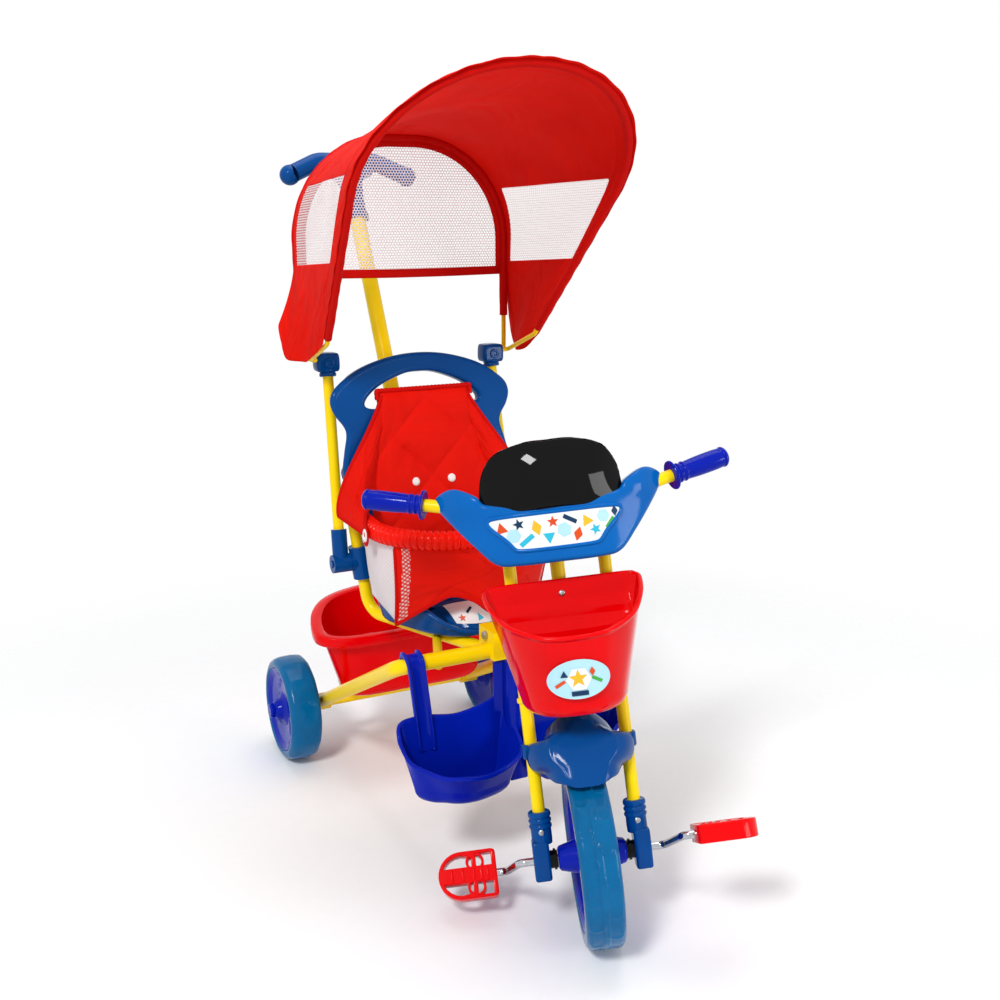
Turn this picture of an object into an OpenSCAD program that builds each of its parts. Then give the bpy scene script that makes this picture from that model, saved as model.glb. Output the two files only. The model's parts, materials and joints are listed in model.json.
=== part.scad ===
// Toddler push-along trike with a folding canopy, guard bar, rear tub and parent handle.
// Front is -Y, the rider's right is -X, the ground is z = 0, all lengths in millimetres.

/* [Overall] */
// distance between the front and rear axle lines
wheel_base = 672; // [600:1:740]
// lean of the steering axis from upright, degrees
rake = 14.9; // [8:0.1:20]
// steering angle at rest, degrees
steer_rest = -23.6; // [-35:0.1:35]
// radial clearance of a rod in its own bore
fit = 0.05; // [0.02:0.01:0.1]
// gap left between pieces that pass each other
run_gap = 0.5; // [0.3:0.1:1.2]
// gap at a welded or sewn seam
seam = 0.05; // [0.02:0.01:0.2]

/* [Front wheel] */
// outer diameter of the front tyre
front_wheel_d = 225; // [200:1:245]
// width of the front tyre
front_tyre_w = 48; // [40:1:52]
// radial height of the front tyre
front_tyre_h = 21; // [14:1:28]
// radius of the tyre shoulders
shoulder_r = 8; // [4:0.5:10]
// height of the centre ridge above the tread
ridge_h = 1.2; // [0.5:0.1:2]
// length of the front hub over its cones
hub_len = 86; // [80:1:88]
// diameter of the bent crank rod and of the rear axle
axle_d = 10; // [8:0.5:12]

/* [Rear wheels] */
// outer diameter of a rear tyre
rear_wheel_d = 175; // [160:1:190]
// width of a rear tyre
rear_tyre_w = 52; // [44:1:56]
// radial height of a rear tyre
rear_tyre_h = 17; // [12:1:22]
// distance between the rear tyre centres
rear_track = 372; // [360:1:400]
// length of a rear hub
rear_hub_len = 66; // [60:1:70]

/* [Pedals] */
// radius of the crank
crank_r = 64; // [50:1:66]
// rise of the left crank above straight ahead, degrees
crank_angle = 24; // [-180:1:180]
// where the crank leaves the fork, from the middle
crank_out = 92; // [90:1:98]
// sideways spread of a crank arm
crank_spread = 16; // [12:1:20]
// length of a pedal along its spindle
pedal_len = 76; // [60:1:90]
// width of a pedal
pedal_w = 60; // [50:1:62]
// thickness of a pedal
pedal_t = 22; // [18:1:28]
// turn of the right pedal about its spindle, degrees
pedal_turn_right = 62; // [-180:1:180]
// turn of the left pedal about its spindle, degrees
pedal_turn_left = -14; // [-180:1:180]

/* [Fork] */
// distance between the fork leg centres
fork_spread = 120; // [112:1:130]
// diameter of the fork legs and the handlebar
fork_tube_d = 16; // [14:0.5:18]
// diameter of the steering stem
stem_d = 18; // [16:0.5:20]
// outer diameter of the head tube
head_tube_d = 30; // [26:0.5:32]
// height of the head tube's lower end along the steering axis
head_low = 205; // [200:1:215]
// length of the head tube
head_len = 82; // [70:1:84]
// thickness of the fork crown plates
crown_t = 6; // [4:0.5:8]
// width of the axle block at a fork end
fork_end_w = 21; // [18:0.5:24]
// diameter of the ribbed sleeve at a fork end
fork_sleeve_d = 26; // [22:0.5:28]
// height of the fork sleeve's top above the axle
fork_sleeve_top = 62; // [54:1:70]

/* [Handlebar] */
// height of the bar's middle along the steering axis
bar_h = 436; // [425:1:450]
// half width of the bar over the grips
bar_half = 231; // [210:1:250]
// sweep back of the bar ends
bar_sweep = 20; // [10:1:30]
// rise of the bar ends
bar_rise = 39; // [25:1:50]
// length of a grip
grip_len = 82; // [70:1:95]
// diameter of a grip
grip_d = 26; // [23:0.5:30]
// diameter of the grip's flange
flange_d = 38; // [34:0.5:44]

/* [Fairing] */
// gap between a grip's flange and the fairing's horn
horn_gap = 7; // [4:0.5:10]
// height of the fairing's front panel
fairing_h = 78; // [68:1:84]
// height of the fairing panel's top edge
fairing_top = 449; // [444:1:455]
// rise of the horn tips above the panel
horn_rise = 24; // [18:1:30]
// forward reach of the fairing
fairing_front = 62; // [58:1:75]
// radius of the fairing's front in plan
fairing_r = 205; // [190:1:240]
// wall of the moulded covers
cover_wall = 4; // [3:0.5:5]
// depth of the fairing's rim walls
fairing_rim = 22; // [14:1:26]
// half width of the windscreen
screen_half = 86; // [70:1:95]
// height of the windscreen's top
screen_top = 519; // [505:1:530]

/* [Front basket] */
// half width of the basket's mouth
basket_half = 96; // [85:1:105]
// height of the basket's back edge along the steering axis
basket_top = 348; // [340:1:356]
// height of the basket's front edge
basket_front_top = 284; // [270:1:300]
// height of the basket's floor
basket_low = 190; // [188:1:200]
// depth of the basket's mouth
basket_depth = 136; // [120:1:150]
// half width of the basket's floor
basket_floor_half = 66; // [58:1:75]
// depth of the basket's floor
basket_floor_depth = 88; // [75:1:100]
// wall of the basket, tub and tray
tub_wall = 3; // [2.5:0.25:4]

/* [Mudguard] */
// radius of the mudguard's arch
guard_r = 64; // [56:1:70]
// width of the mudguard
guard_w = 100; // [84:1:102]
// length of the mudguard
guard_len = 106; // [98:1:124]
// slope of the mudguard, degrees
guard_slope = 41; // [35:1:48]
// height of the mudguard's clips along the legs
guard_clip_h = 138; // [132:1:146]

/* [Frame] */
// diameter of the base tube
base_tube_d = 22; // [20:0.5:24]
// half width of the base tube at its front bends
base_half = 158; // [150:1:162]
// half width of the base tube at the rear axle
base_end_half = 137; // [132:1:140]
// forward place of the base tube's cross run
base_front_y = -97; // [-104:1:-92]
// height of the base tube's cross run
base_front_z = 306; // [302:1:312]
// bend radius of the base tube
base_bend = 30; // [26:1:34]
// diameter of the seat tubes
seat_tube_d = 18; // [16:0.5:20]
// height of the seat tubes under the seat
seat_tube_z = 295; // [292:1:300]
// bend radius of the seat tubes
seat_bend = 30; // [26:1:32]
// top of the seat tubes
seat_tube_top = 437; // [430:1:445]
// diameter of the main beam
beam_d = 26; // [22:0.5:28]
// half width of the frame bracket
bracket_half = 28; // [26:1:44]
// sheet thickness of the frame bracket
bracket_t = 3; // [2:0.25:4]
// diameter of the frame struts
strut_d = 13; // [11:0.5:14]

/* [Guard bar] */
// height of the guard bar
guard_bar_z = 457; // [452:1:464]
// forward reach of the guard bar
guard_bar_y = -57; // [-70:1:-45]
// half width of the guard bar at the front
guard_bar_half = 142; // [134:1:150]
// diameter of the guard bar's steel core
guard_core_d = 13; // [11:0.5:14]
// outer diameter of the ribbed sleeve
sleeve_d = 28; // [25:0.5:31]
// pitch of the sleeve's ribs
rib_pitch = 9; // [7:0.5:12]
// bend radius of the guard bar's front corners
guard_bend = 108; // [95:1:118]

/* [Seat] */
// half width of the seat pan
seat_half = 118; // [110:1:138]
// forward reach of the seat pan
seat_front_y = -46; // [-52:1:-40]
// height of the seat pan's rim
seat_rim_z = 346; // [340:1:352]
// lean of the backrest, degrees
back_lean = 12; // [8:0.5:16]
// half width of the backrest's shoulders
back_half = 148; // [140:1:152]
// height of the backrest's top
back_top = 690; // [675:1:705]
// thickness of the backrest
back_t = 22; // [16:1:26]
// depth left in the backrest's shoulders, in front of the canopy posts
shoulder_t = 7; // [5:0.5:7]
// thickness of the quilted seat cover
quilt_t = 7; // [5:0.5:9]
// pitch of the quilting diamonds
quilt_pitch = 120; // [80:1:140]
// thickness of plain cloth
cloth_t = 1.6; // [1.2:0.1:2.4]

/* [Rear tub] */
// half width of the tub's rim
tub_half = 158; // [148:1:172]
// front of the tub
tub_front_y = 224; // [220:1:230]
// rear of the tub
tub_rear_y = 405; // [380:1:420]
// height of the tub's rim at its front
tub_rim_z = 236; // [230:1:242]
// height of the tub's floor
tub_low = 134; // [130:1:140]
// rise of the rim from front to rear, degrees
tub_tilt = 8; // [0:0.5:12]
// width of the tub's rim flange
tub_flange = 10; // [6:0.5:12]

/* [Footrest] */
// half width of the footrest
foot_half = 172; // [160:1:180]
// front of the foot trays
foot_front_y = -184; // [-186:1:-176]
// height of the footrest's back wall
foot_back_z = 234; // [226:1:242]
// height of the foot trays' front lip
foot_lip_z = 150; // [144:1:158]
// underside of the foot trays
foot_low = 116; // [110:1:124]
// width of a footrest strap
strap_w = 24; // [18:1:28]

/* [Push bar] */
// diameter of the push bar
push_d = 26; // [22:0.5:28]
// lean of the push bar from upright, degrees
push_lean = 26.7; // [22:0.1:30]
// place of the push bar at seat tube height
push_y = 156; // [152:1:162]
// length of the push bar above the seat tubes
push_len = 690; // [620:1:740]
// wall of the push bar's socket
socket_wall = 4; // [3:0.5:5]
// length of the handle's stem
handle_stem = 98; // [80:1:110]
// half width of the push handle
handle_half = 104; // [90:1:120]
// thickness of the push handle
handle_d = 30; // [26:1:34]

/* [Canopy] */
// height of the post pivots
knuckle_z = 378; // [372:1:384]
// place of the post pivots
knuckle_y = 171; // [168:1:176]
// outer end of the pivot barrels
knuckle_out = 160; // [156:1:166]
// diameter of the pivot barrels
knuckle_d = 28; // [24:0.5:30]
// diameter of the canopy posts
post_d = 16; // [14:0.5:18]
// lean of the canopy posts, degrees
post_lean = 11; // [6:0.5:14]
// height of the bow clamps
clamp_z = 678; // [660:1:700]
// distance between the posts' upper ends
post_top_spread = 274; // [266:1:284]
// width of a bow clamp
clamp_w = 37; // [34:1:42]
// height of a bow clamp
clamp_h = 30; // [26:1:34]
// wire diameter of the bows
wire_d = 7; // [5:0.5:8]
// tilt of the front bow from upright, degrees
front_bow_tilt = 42.8; // [36:0.1:48]
// widest half width of the front bow
front_bow_half = 190; // [182:1:200]
// length of the front bow along its plane
front_bow_len = 525; // [480:1:550]
// widest half width of the rear bow
rear_bow_half = 171; // [168:1:178]
// height of the rear bow above the clamps
rear_bow_len = 330; // [316:1:360]
// height of the side windows' lower edge above the clamps
window_low = 144; // [130:1:160]
// height of the side windows' upper edge above the clamps
window_high = 254; // [235:1:270]
// height of the flaps' lower edge above the clamps
flap_low = 8; // [4:1:20]
// how far a flap stands out at its rear lower corner
flap_flare = 27; // [0:1:34]
// width of the hem along the front bow
hem_w = 26; // [18:1:34]
// width of the hem under the rear window
rear_hem_w = 16; // [10:1:22]

/* [Hidden] */
$fn = 48;

// derived heights and half sizes
front_r = front_wheel_d / 2;
rear_axle_z = rear_wheel_d / 2;
rear_y = wheel_base / 2;
lean_sin = abs(sin(steer_rest) * sin(rake));
lean_cos = sqrt(1 - lean_sin * lean_sin);
tread_r = front_r - ridge_h;
front_axle_z = max(front_r * lean_cos + 4 * lean_sin,
    (tread_r - shoulder_r) * lean_cos + (front_tyre_w / 2 - shoulder_r) * lean_sin + shoulder_r);
leg_x = fork_spread / 2;
leg_r = fork_tube_d / 2;
axle_r = axle_d / 2;
spacer_in = hub_len / 2 + run_gap;
block_in = leg_x - 7;
block_out = block_in + fork_end_w;
pedal_in = crank_out + crank_spread + 13;
crank_vec = crank_r * [0, -cos(crank_angle), sin(crank_angle)];
base_r = base_tube_d / 2;
seat_r = seat_tube_d / 2;
wire_r = wire_d / 2;
post_r = post_d / 2;
push_r = push_d / 2;
guard_core_r = guard_core_d / 2;
lap = 0.24;
fairing_half = bar_half - grip_len - horn_gap;
fairing_low = fairing_top - fairing_h;
horn_top = fairing_top + horn_rise;

function unit(v) = v / norm(v);
function mix(a, b, t) = a + (b - a) * t;
function flip(v) = [-v[0], v[1], v[2]];
function way(p, i) = unit(p[i + 1] - p[i]);
function turn(p, i) = acos(max(-1, min(1, way(p, i - 1) * way(p, i))));
function radius_at(b, i) = is_list(b) ? b[i] : b;
function setback(p, b, i) = i == 0 || i == len(p) - 1 ? 0 : radius_at(b, i) * tan(turn(p, i) / 2);
// closed curve through control points
function cr(a, b, c, d, t) = 0.5 * (2 * b + (c - a) * t + (2 * a - 5 * b + 4 * c - d) * t * t
    + (3 * b - a - 3 * c + d) * t * t * t);
function smooth(p, n) = let (m = len(p)) [for (i = [0 : m - 1], k = [0 : n - 1])
    cr(p[(i + m - 1) % m], p[i], p[(i + 1) % m], p[(i + 2) % m], k / n)];
// mirrored outline from a half outline that starts and ends on the middle line
function both(p) = concat(p, [for (i = [len(p) - 2 : -1 : 1]) [-p[i][0], p[i][1]]]);
function shrink(p, d) = let (m = len(p)) [for (i = [0 : m - 1])
    let (e = unit(unit(p[i] - p[(i + m - 1) % m]) + unit(p[(i + 1) % m] - p[i]))) p[i] + d * [-e[1], e[0]]];

module rod(a, b, r) {
    d = b - a;
    translate(a) rotate([0, acos(d[2] / norm(d)), atan2(d[1], d[0])]) cylinder(r = r, h = norm(d));
}

module bend(c, u, v, b, r) {
    a = acos(u * v);
    w = unit(cross(u, v));
    n = cross(w, u);
    o = c - u * b * tan(a / 2) + n * b;
    multmatrix([[-n[0], u[0], w[0], o[0]], [-n[1], u[1], w[1], o[1]], [-n[2], u[2], w[2], o[2]], [0, 0,
        0, 1]])
        rotate_extrude(angle = a) translate([b, 0]) circle(r);
}

// tube along straight runs with true round bends, each run lapped a little over its bends
module bent_tube(p, b, r) {
    for (i = [0 : len(p) - 2])
        rod(p[i] + way(p, i) * max(0, setback(p, b, i) - lap), p[i + 1] - way(p, i) * max(0, setback(p,
            b, i + 1) - lap), r);
    for (i = [1 : len(p) - 2]) bend(p[i], way(p, i - 1), way(p, i), radius_at(b, i), r - lap / 8);
}

module along_x(x0, x1, r) translate([x0, 0, 0]) rotate([0, 90, 0]) cylinder(r = r, h = x1 - x0);
module right_left() { children(); mirror([1, 0, 0]) children(); }
module at_head() translate([0, -rear_y, front_axle_z]) rotate([-rake, 0, 0]) children();
module at_front() at_head() rotate([0, 0, steer_rest]) children();
module at_rear(x) translate([x, rear_y, rear_axle_z]) children();

function normal_at(g, i, j) = unit(cross(g[min(i + 1, len(g) - 1)][j] - g[max(i - 1, 0)][j],
    g[i][min(j + 1, len(g[0]) - 1)] - g[i][max(j - 1, 0)]));
// closed sheet on a grid of points, from low to high along the normals
module sheet(g, low, high) {
    m = len(g);
    n = len(g[0]);
    function t(i, j) = i * n + j;
    function b(i, j) = (m + i) * n + j;
    pts = concat([for (i = [0 : m - 1], j = [0 : n - 1]) g[i][j] + normal_at(g, i, j) * (is_list(high)
        ? high[i][j] : high)],
        [for (i = [0 : m - 1], j = [0 : n - 1]) g[i][j] + normal_at(g, i, j) * low]);
    polyhedron(pts, concat(
        [for (i = [0 : m - 2], j = [0 : n - 2], f = [0, 1])
            f == 0 ? [t(i, j), t(i, j + 1), t(i + 1, j + 1)] : [t(i, j), t(i + 1, j + 1), t(i + 1, j)]],
        [for (i = [0 : m - 2], j = [0 : n - 2], f = [0, 1])
            f == 0 ? [b(i, j), b(i + 1, j + 1), b(i, j + 1)] : [b(i, j), b(i + 1, j), b(i + 1, j + 1)]],
        [for (i = [0 : m - 2], f = [0, 1]) f == 0 ? [t(i, 0), t(i + 1, 0), b(i + 1, 0)] : [t(i, 0),
            b(i + 1, 0), b(i, 0)]],
        [for (i = [0 : m - 2], f = [0, 1]) f == 0 ? [t(i, n - 1), b(i + 1, n - 1), t(i + 1, n - 1)]
            : [t(i, n - 1), b(i, n - 1), b(i + 1, n - 1)]],
        [for (j = [0 : n - 2], f = [0, 1]) f == 0 ? [t(0, j), b(0, j), b(0, j + 1)] : [t(0, j), b(0,
            j + 1), t(0, j + 1)]],
        [for (j = [0 : n - 2], f = [0, 1]) f == 0 ? [t(m - 1, j), b(m - 1, j + 1), b(m - 1, j)]
            : [t(m - 1, j), t(m - 1, j + 1), b(m - 1, j + 1)]]));
}

// Wheels

module tyre(r, w, h, ridge) rotate([0, 90, 0]) rotate_extrude($fn = 96) {
    rt = r - ridge;
    translate([r - h, -w / 2 + 3]) square([h - ridge - shoulder_r, w - 6]);
    translate([r - h + 3, -w / 2]) square([h - ridge - shoulder_r - 3, w]);
    translate([rt - shoulder_r, -w / 2 + shoulder_r]) square([shoulder_r, w - 2 * shoulder_r]);
    for (s = [-1, 1]) {
        translate([rt - shoulder_r, s * (w / 2 - shoulder_r)]) circle(shoulder_r);
        translate([r - h + 3, s * (w / 2 - 3)]) circle(3);
    }
    translate([rt - 1, -4]) square([ridge + 1, 8]);
}

// dished disc wheel: rim band, two sloping discs, hub with cones
module disc_wheel(r, w, hub, bore) rotate([0, 90, 0]) difference() {
    rotate_extrude($fn = 96) {
        polygon([[r - 9, -w / 2 + 4], [r, -w / 2 + 1], [r, w / 2 - 1], [r - 9, w / 2 - 4],
            [r - 12, w / 2 - 9], [30, 9], [22, 12], [15, hub / 2], [0, hub / 2],
            [0, -hub / 2], [15, -hub / 2], [22, -12], [30, -9], [r - 12, -w / 2 + 9]]);
    }
    translate([0, 0, -hub]) cylinder(r = bore, h = 2 * hub);
}

module front_tyre() color("#0f73ae") at_front() tyre(front_r, front_tyre_w, front_tyre_h, ridge_h);
module front_rim() color("#0a1eb4") at_front()
    disc_wheel(front_r - front_tyre_h - seam, front_tyre_w, hub_len, axle_r + fit);
module crank() color("#c8ccd2") at_front() {
    end = pedal_in + pedal_len - 8;
    out = crank_out + crank_spread;
    bent_tube([[-end, 0, 0] - crank_vec, [-out, 0, 0] - crank_vec, [-crank_out, 0, 0], [crank_out, 0, 0],
        [out, 0, 0] + crank_vec, [end, 0, 0] + crank_vec], 10, axle_r);
}

// pedal lying flat along +X from its inner end, round at the outer end
module pedal_body() difference() {
    union() {
        linear_extrude(pedal_t, center = true) difference() {
            union() {
                translate([0, -pedal_w / 2]) square([pedal_len - pedal_w / 2, pedal_w]);
                translate([pedal_len - pedal_w / 2, 0]) circle(pedal_w / 2);
            }
            for (s = [-1, 1]) mirror([0, s > 0 ? 0 : 1, 0]) {
                translate([6, axle_r + 5]) square([(pedal_len - 20) / 2 - 8, pedal_w / 2 - axle_r - 9]);
                intersection() {
                    translate([(pedal_len - 20) / 2 + 4, axle_r + 5]) square([pedal_len / 2,
                        pedal_w / 2 - axle_r - 9]);
                    translate([pedal_len - pedal_w / 2, 0]) circle(pedal_w / 2 - 5);
                }
            }
        }
        for (s = [-1, 1]) translate([pedal_len * 0.36, s * pedal_w * 0.26, 0]) difference() {
            cylinder(r = pedal_w * 0.2, h = pedal_t - 2, center = true);
            cylinder(r = pedal_w * 0.2 - 3, h = pedal_t, center = true);
        }
    }
    translate([-1, 0, 0]) rotate([0, 90, 0]) cylinder(r = axle_r + fit, h = pedal_len - 6);
}
module pedal_right() color("#e8000b") at_front() translate([-pedal_in, 0, 0] - crank_vec)
    rotate([pedal_turn_right, 0, 0]) mirror([1, 0, 0]) pedal_body();
module pedal_left() color("#e8000b") at_front() translate([pedal_in, 0, 0] + crank_vec)
    rotate([pedal_turn_left, 0, 0]) pedal_body();

module rear_rim(s) at_rear(s * rear_track / 2)
    disc_wheel(rear_wheel_d / 2 - rear_tyre_h - seam, rear_tyre_w, rear_hub_len, axle_r + fit);
module rear_tyre(s) at_rear(s * rear_track / 2) tyre(rear_wheel_d / 2, rear_tyre_w, rear_tyre_h, 0);
module rear_cap(s) at_rear(s * (rear_track + rear_hub_len) / 2) mirror([s > 0 ? 0 : 1, 0, 0])
    rotate([0, 90, 0]) difference() {
        translate([0, 0, run_gap]) rotate_extrude() {
            square([12, 5]);
            square([9, 8]);
            translate([9, 5]) intersection() { circle(3); square(4); }
        }
        cylinder(r = axle_r + fit, h = 5.5);
    }
module rear_tyre_right() color("#0f73ae") rear_tyre(-1);
module rear_tyre_left() color("#0f73ae") rear_tyre(1);
module rear_rim_right() color("#0a1eb4") rear_rim(-1);
module rear_rim_left() color("#0a1eb4") rear_rim(1);
module rear_cap_right() color("#0a1eb4") rear_cap(-1);
module rear_cap_left() color("#0a1eb4") rear_cap(1);
axle_half = (rear_track + rear_hub_len) / 2 + 5;
module rear_axle() color("#c8ccd2") at_rear(0) along_x(-axle_half, axle_half, axle_r);

// Frame

boss_r = base_r + 3;
boss_out = (rear_track - rear_hub_len) / 2 - run_gap;
boss_in = base_end_half - base_r - 3;
base_pts = [[-base_end_half, rear_y, rear_axle_z], [-base_half, base_front_y, base_front_z],
    [base_half, base_front_y, base_front_z], [base_end_half, rear_y, rear_axle_z]];
module base_tube_solid(r) bent_tube(base_pts, base_bend, r);
module base_cross(r) translate([0, base_front_y, base_front_z]) along_x(-base_half, base_half, r);
module base_tube() color("#ffe000") difference() {
    union() {
        base_tube_solid(base_r);
        right_left() at_rear(0) along_x(-boss_out, -boss_in, boss_r);
    }
    at_rear(0) along_x(-axle_half, axle_half, axle_r + fit);
}
module axle_tube() color("#ffe000") at_rear(0) difference() {
    along_x(-boss_in + seam, boss_in - seam, axle_r + 5);
    along_x(-axle_half, axle_half, axle_r + fit);
}

// seat tube axis: upright part, corner and run to the bracket
side_foot = [-104, 168, seat_tube_z];
side_dir = unit([-20, 4, 147]);
function side_at(z) = side_foot + side_dir * ((z - seat_tube_z) / side_dir[2]);
seat_pts = [side_at(seat_tube_top), side_foot, [-10, -72, seat_tube_z], [-6, base_front_y, base_front_z]];
module seat_tube_solid(r) bent_tube([seat_pts[0], seat_pts[1], mix(seat_pts[1], seat_pts[2], 1.08)],
    seat_bend, r);
module seat_run(r) rod(seat_pts[1], mix(seat_pts[1], seat_pts[2], 1.08), r);
module seat_tube() difference() {
    seat_tube_solid(seat_r);
    base_cross(base_r + seam);
    translate([-seam, -300, 0]) cube([60, 500, 600]);
    rod(side_at(guard_bar_z - 56), side_at(guard_bar_z), guard_core_r + fit);
}
module seat_tube_right() color("#ffe000") seat_tube();
module seat_tube_left() color("#ffe000") mirror([1, 0, 0]) seat_tube();

strut_top = mix(seat_pts[1], seat_pts[2], 0.575) - [0, 0, 2];
strut_foot = [-base_half + base_bend + 26, base_front_y, base_front_z - 8];
module frame_struts() color("#ffe000") right_left() difference() {
    rod(strut_top, strut_foot, strut_d / 2);
    seat_run(seat_r + seam);
    base_cross(base_r + seam);
}

// head tube, main beam and the folded bracket over the base tube
head_mid = [0, -rear_y, front_axle_z] + (head_low + head_len / 2) * [0, sin(rake), cos(rake)];
bracket_top = base_front_z + base_r + 20;
bracket_low = base_front_z - base_r + 2;
bracket_y0 = base_front_y - base_r - 8;
bracket_y1 = base_front_y + base_r + 16;
beam_end = [0, bracket_y0 + 1, base_front_z + 9];
beam_start = head_mid + [0, 0, -18];
module front_frame() color("#ffe000") difference() {
    union() {
        at_head() translate([0, 0, head_low]) cylinder(d = head_tube_d, h = head_len);
        rod(beam_start, beam_end, beam_d / 2);
        translate([-bracket_half, bracket_y0, bracket_low]) {
            translate([0, 0, bracket_top - bracket_low - bracket_t])
                cube([2 * bracket_half, bracket_y1 - bracket_y0, bracket_t]);
            cube([2 * bracket_half, bracket_t, bracket_top - bracket_low]);
            for (x = [0, 2 * bracket_half - bracket_t]) translate([x, 0, 0])
                cube([bracket_t, bracket_y1 - bracket_y0, bracket_top - bracket_low]);
        }
    }
    at_head() translate([0, 0, head_low - 1]) cylinder(r = stem_d / 2 + fit, h = head_len + 2);
    base_cross(base_r + fit);
    translate([0, base_front_y + 4, bracket_top - 9]) along_x(-60, 60, 3 + fit);
}
module frame_bolt() color("#c8ccd2") translate([0, base_front_y + 4, bracket_top - 9]) {
    along_x(-bracket_half - 2, bracket_half + 2, 3);
    along_x(-bracket_half - 5, -bracket_half - seam, 6, $fn = 6);
    along_x(bracket_half + seam, bracket_half + 5, 6, $fn = 6);
}

// rear cross member with the push bar's socket
push_dir = [0, sin(push_lean), cos(push_lean)];
push_foot = [0, push_y, seat_tube_z];
socket_low = push_foot - push_dir * 26;
socket_top = push_foot + push_dir * 104;
cross_y = push_y - (push_r + socket_wall) - 7;
cross_half = -mix(seat_pts[1], seat_pts[2], (cross_y - seat_pts[1][1])
    / (seat_pts[2][1] - seat_pts[1][1]))[0];
module push_socket() color("#ffe000") difference() {
    union() {
        rod(socket_low, socket_top, push_r + socket_wall);
        translate([0, cross_y, seat_tube_z]) along_x(-cross_half, cross_half, seat_r);
    }
    rod(push_foot - push_dir * 22, socket_top + push_dir, push_r + fit);
    right_left() seat_run(seat_r + seam);
}

// Fork, handlebar and what turns with them

module fork_leg(s) at_front() difference() {
    translate([s * leg_x, 0, fork_sleeve_top - 38]) cylinder(r = leg_r, h = bar_h - fork_sleeve_top + 38);
    bar_run(leg_r + seam);
}
module fork_leg_right() color("#ffe000") fork_leg(-1);
module fork_leg_left() color("#ffe000") fork_leg(1);

crown_low = head_low - run_gap - crown_t;
crown_high = head_low + head_len + run_gap;
module crown_plate(z) translate([0, 0, z]) difference() {
    union() {
        translate([-leg_x, -12, 0]) cube([2 * leg_x, 24, crown_t]);
        for (s = [-1, 1]) translate([s * leg_x, 0, 0]) cylinder(r = 12, h = crown_t);
    }
    for (s = [-1, 1]) translate([s * leg_x, 0, -1]) cylinder(r = leg_r + fit, h = crown_t + 2);
    translate([0, 0, -1]) cylinder(r = stem_d / 2 + fit, h = crown_t + 2);
    for (s = [-1, 1]) translate([s * leg_x / 2, 0, -1]) cylinder(r = 7, h = crown_t + 2);
}
module fork_crowns() color("#ffe000") at_front() {
    crown_plate(crown_low);
    crown_plate(crown_high);
}
module steering_stem() color("#ffe000") at_front() difference() {
    translate([0, 0, crown_low]) cylinder(r = stem_d / 2, h = bar_h - crown_low);
    bar_run(leg_r + seam);
    translate([0, -stem_d, basket_top - 18]) rotate([-90, 0, 0]) cylinder(r = 2 + fit, h = stem_d);
}

module fork_end(s) at_front() difference() {
    union() {
        translate([s * leg_x, 0, 14]) cylinder(d = fork_sleeve_d, h = fork_sleeve_top - 14);
        for (k = [0 : 2]) translate([s * leg_x, 0, fork_sleeve_top - 5 - 7 * k])
            cylinder(d = fork_sleeve_d + 2.4, h = 3.5);
        mirror([s > 0 ? 0 : 1, 0, 0]) {
            along_x(block_in, block_out, 15);
            translate([block_in, -15, 0]) cube([fork_end_w, 30, 26]);
            translate([block_in, -12, -24]) cube([fork_end_w, 24, 24]);
        }
    }
    translate([s * leg_x, 0, fork_sleeve_top - 38]) cylinder(r = leg_r + fit, h = 60);
    along_x(-120, 120, axle_r + fit);
    translate([s * leg_x, 0, 38]) rotate([90, 0, 0]) cylinder(r = 2.5 + fit, h = 40);
}
module fork_end_right() color("#0b5fa5") fork_end(-1);
module fork_end_left() color("#0b5fa5") fork_end(1);
module fork_screws() color("#c8ccd2") at_front() for (s = [-1, 1])
    translate([s * leg_x, -leg_r - seam, 38]) rotate([90, 0, 0]) {
        cylinder(r = 2.5, h = fork_sleeve_d / 2 - leg_r + 1);
        translate([0, 0, fork_sleeve_d / 2 - leg_r + 0.3]) cylinder(r = 5, h = 2.4);
    }
module hub_spacers() color("#101010") at_front() right_left() difference() {
    union() {
        along_x(spacer_in, block_in - seam, axle_r + 6);
        along_x(spacer_in + 2, spacer_in + 5, axle_r + 8);
    }
    along_x(0, 100, axle_r + fit);
}

bar_knee = [-120, -7, bar_h + 14];
bar_tip = [-bar_half, bar_sweep, bar_h + bar_rise];
bar_pts = [bar_tip, bar_knee, [-leg_x - 16, 0, bar_h], [leg_x + 16, 0, bar_h], flip(bar_knee),
    flip(bar_tip)];
bar_way = unit(bar_tip - bar_knee);
module bar_solid(r) bent_tube(bar_pts, 24, r);
module bar_run(r) translate([0, 0, bar_h]) along_x(-leg_x - 16, leg_x + 16, r);
module handlebar() color("#ffe000") at_front() bar_solid(leg_r);
// grip turned along its own axis, flange at the inner end
module grip(s) at_front() mirror([s > 0 ? 1 : 0, 0, 0]) translate(bar_tip - bar_way * (grip_len - 3))
    rotate([0, acos(bar_way[2]), atan2(bar_way[1], bar_way[0])]) difference() {
        rotate_extrude() {
            square([grip_d / 2 - 1.5, grip_len - 3]);
            translate([0, grip_len - 6]) square([grip_d / 2 - 4, 6]);
            translate([grip_d / 2 - 4, grip_len - 4]) circle(4);
            square([flange_d / 2 - 1.5, 3]);
            translate([flange_d / 2 - 1.5, 1.5]) circle(1.5);
            for (k = [0 : 6]) translate([grip_d / 2 - 2.5, 12 + k * (grip_len - 24) / 6]) circle(2.5);
        }
        translate([0, 0, -1]) cylinder(r = leg_r + fit, h = grip_len - 2 + fit);
    }
module grip_right() color("#0a1eb4") grip(-1);
module grip_left() color("#0a1eb4") grip(1);

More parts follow.
